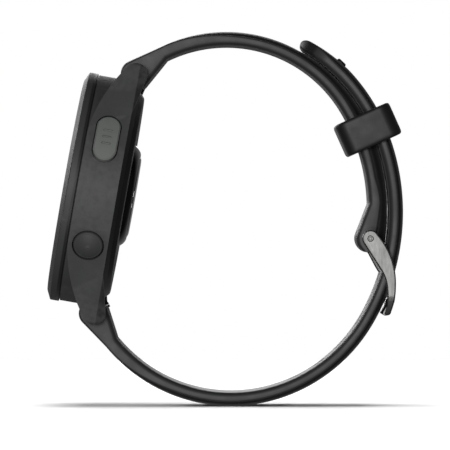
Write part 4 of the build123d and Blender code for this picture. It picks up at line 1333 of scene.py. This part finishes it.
@dataclass
class Studio:
    """White surroundings, pale floor, soft lights and the camera."""

    distance: float = 1.25
    lens: float = 535.9
    aim: float = 0.03363
    lights: tuple[Softbox, ...] = (
        Softbox("front_softbox", (-0.12, -0.9, 0.14), (0.3, 0.3), 4.6),
        Softbox("low_softbox", (-0.05, -0.85, -0.36), (0.2, 0.2), 1.5),
        Softbox("chamfer_softbox", (-0.65, 0.5, 0.33), (0.22, 0.3), 2.6),
        Softbox("back_softbox", (-0.15, 1.0, 0.35), (0.6, 0.5), 2.6),
    )
    floor_light: Softbox = Softbox("floor_softbox", (0.0, 0.0, 2.0), (1.35, 1.35), 52.0)
    steel_light: Softbox = Softbox("steel_softbox", (0.0, -1.1, 0.2), (0.9, 0.9), 3.1)
    steel: tuple[str, ...] = ("buckle_frame_steel", "buckle_pin_steel", "buckle_tongue_steel",
                              "lower_bar_lever")

    def make_world(self) -> None:
        """White where the camera looks, a dim backdrop in reflections, and a faint ambient glow."""
        world = bpy.data.worlds.new("studio")
        world.use_nodes = True
        world.node_tree.nodes.clear()
        kit = Kit(world.node_tree)
        seen, glow, backdrop = kit.node("Background"), kit.node("Background"), kit.node("Background")
        seen.inputs[1].default_value = 1.0
        glow.inputs[1].default_value = 0.03
        seen.inputs[0].default_value = glow.inputs[0].default_value = (1, 1, 1, 1)
        ahead = kit.along(kit.node("TexCoord").outputs["Generated"], (0, 1, 0))
        kit.link(kit.span(ahead, 0.3, 0.95, 0.02, 0.22), backdrop.inputs[1])
        backdrop.inputs[0].default_value = (1, 1, 1, 1)
        path = kit.node("LightPath")
        shaders = glow.outputs[0]
        for ray, other in (("Is Glossy Ray", backdrop), ("Is Camera Ray", seen)):
            mix = kit.node("MixShader")
            kit.link(path.outputs[ray], mix.inputs[0])
            kit.link(shaders, mix.inputs[1])
            kit.link(other.outputs[0], mix.inputs[2])
            shaders = mix.outputs[0]
        kit.link(shaders, kit.node("OutputWorld").inputs[0])
        bpy.context.scene.world = world

    def make_floor(self) -> None:
        """Pale floor with a soft shadow, lit by a softbox of its own and unseen in reflections."""
        bm = bmesh.new()
        turned_edge = [Vector((420.0 * math.cos(math.tau * k / 96), 420.0 * math.sin(math.tau * k / 96), 0.0))
                       for k in range(96)]
        rings = [[p * share + Vector((0, 0, z)) for p in turned_edge]
                 for share, z in ((1.0, -1.2), (1.0, -0.2), (0.995, 0.0))]
        skin(bm, rings)
        floor = mesh_object("studio_floor", bm)
        material = bpy.data.materials.new("pale_floor")
        material.use_nodes = True
        kit = Kit(material.node_tree)
        shader = material.node_tree.nodes["Principled BSDF"]
        spot = kit.node("TexCoord").outputs["Object"]
        tone = kit.blend(kit.noise(spot, 60.0, 3.0), (0.86, 0.86, 0.86), (0.9, 0.9, 0.9))
        kit.link(tone, shader.inputs["Base Color"])
        shader.inputs["Roughness"].default_value = 0.75
        shader.inputs["Specular IOR Level"].default_value = 0.1
        floor.data.materials.append(material)
        floor.visible_diffuse = floor.visible_glossy = floor.visible_shadow = False
        stage = bpy.data.collections.new("floor_only")
        stage.objects.link(floor)
        self.add_light(self.floor_light, Vector()).light_linking.receiver_collection = stage

    def add_light(self, box: Softbox, target: Vector) -> bpy.types.Object:
        """Place a softbox and turn it to a point."""
        data = bpy.data.lights.new(box.name, "AREA")
        data.shape = "RECTANGLE"
        data.size, data.size_y = box.size
        data.energy = box.power
        light = bpy.data.objects.new(box.name, data)
        light.location = box.place
        light.rotation_mode = "QUATERNION"
        light.rotation_quaternion = (target - light.location).to_track_quat("-Z", "Y")
        bpy.context.scene.collection.objects.link(light)
        return light

    def make_lights(self) -> None:
        """Place the softboxes.

        The ones in front light the black parts only, and the steel has a broad one of its own. The ones
        behind light both.
        """
        target = Vector((0.0, 0.0, 0.035))
        black, steel = bpy.data.collections.new("not_steel"), bpy.data.collections.new("steel_only")
        for piece in bpy.data.objects:
            if piece.name in self.steel:
                for collection, state in ((black, "EXCLUDE"), (steel, "INCLUDE")):
                    collection.objects.link(piece)
                    collection.collection_objects[-1].light_linking.link_state = state
        for box in self.lights:
            light = self.add_light(box, target)
            if box.place[1] < 0.0:
                light.light_linking.receiver_collection = black
        self.add_light(self.steel_light, target).light_linking.receiver_collection = steel

    def make_camera(self) -> None:
        """Level camera that looks along +Y."""
        data = bpy.data.cameras.new("camera")
        data.lens, data.sensor_width = self.lens, 36.0
        data.clip_start, data.clip_end = 0.05, 20.0
        camera = bpy.data.objects.new("camera", data)
        camera.location = (0.0, -self.distance, self.aim)
        camera.rotation_euler = (math.pi / 2, 0.0, 0.0)
        bpy.context.scene.collection.objects.link(camera)
        bpy.context.scene.camera = camera

    def make(self) -> None:
        """Set the stage that needs no piece of the watch."""
        bpy.context.scene.view_settings.view_transform = "Standard"
        self.make_world()
        self.make_floor()
        self.make_camera()


def main() -> None:
    """Build the studio and every sub-assembly."""
    logging.basicConfig(level=logging.INFO, format="%(message)s")
    studio = Studio()
    studio.make()
    wardrobe = Wardrobe()
    wardrobe.dress_nodes()
    CaseFront(wardrobe).make()
    straps = Straps(wardrobe)
    straps.make()
    Keeper(wardrobe, straps.lower).make()
    Buckle(wardrobe, straps.pin).make()
    studio.make_lights()


if __name__ == "__main__":
    main()
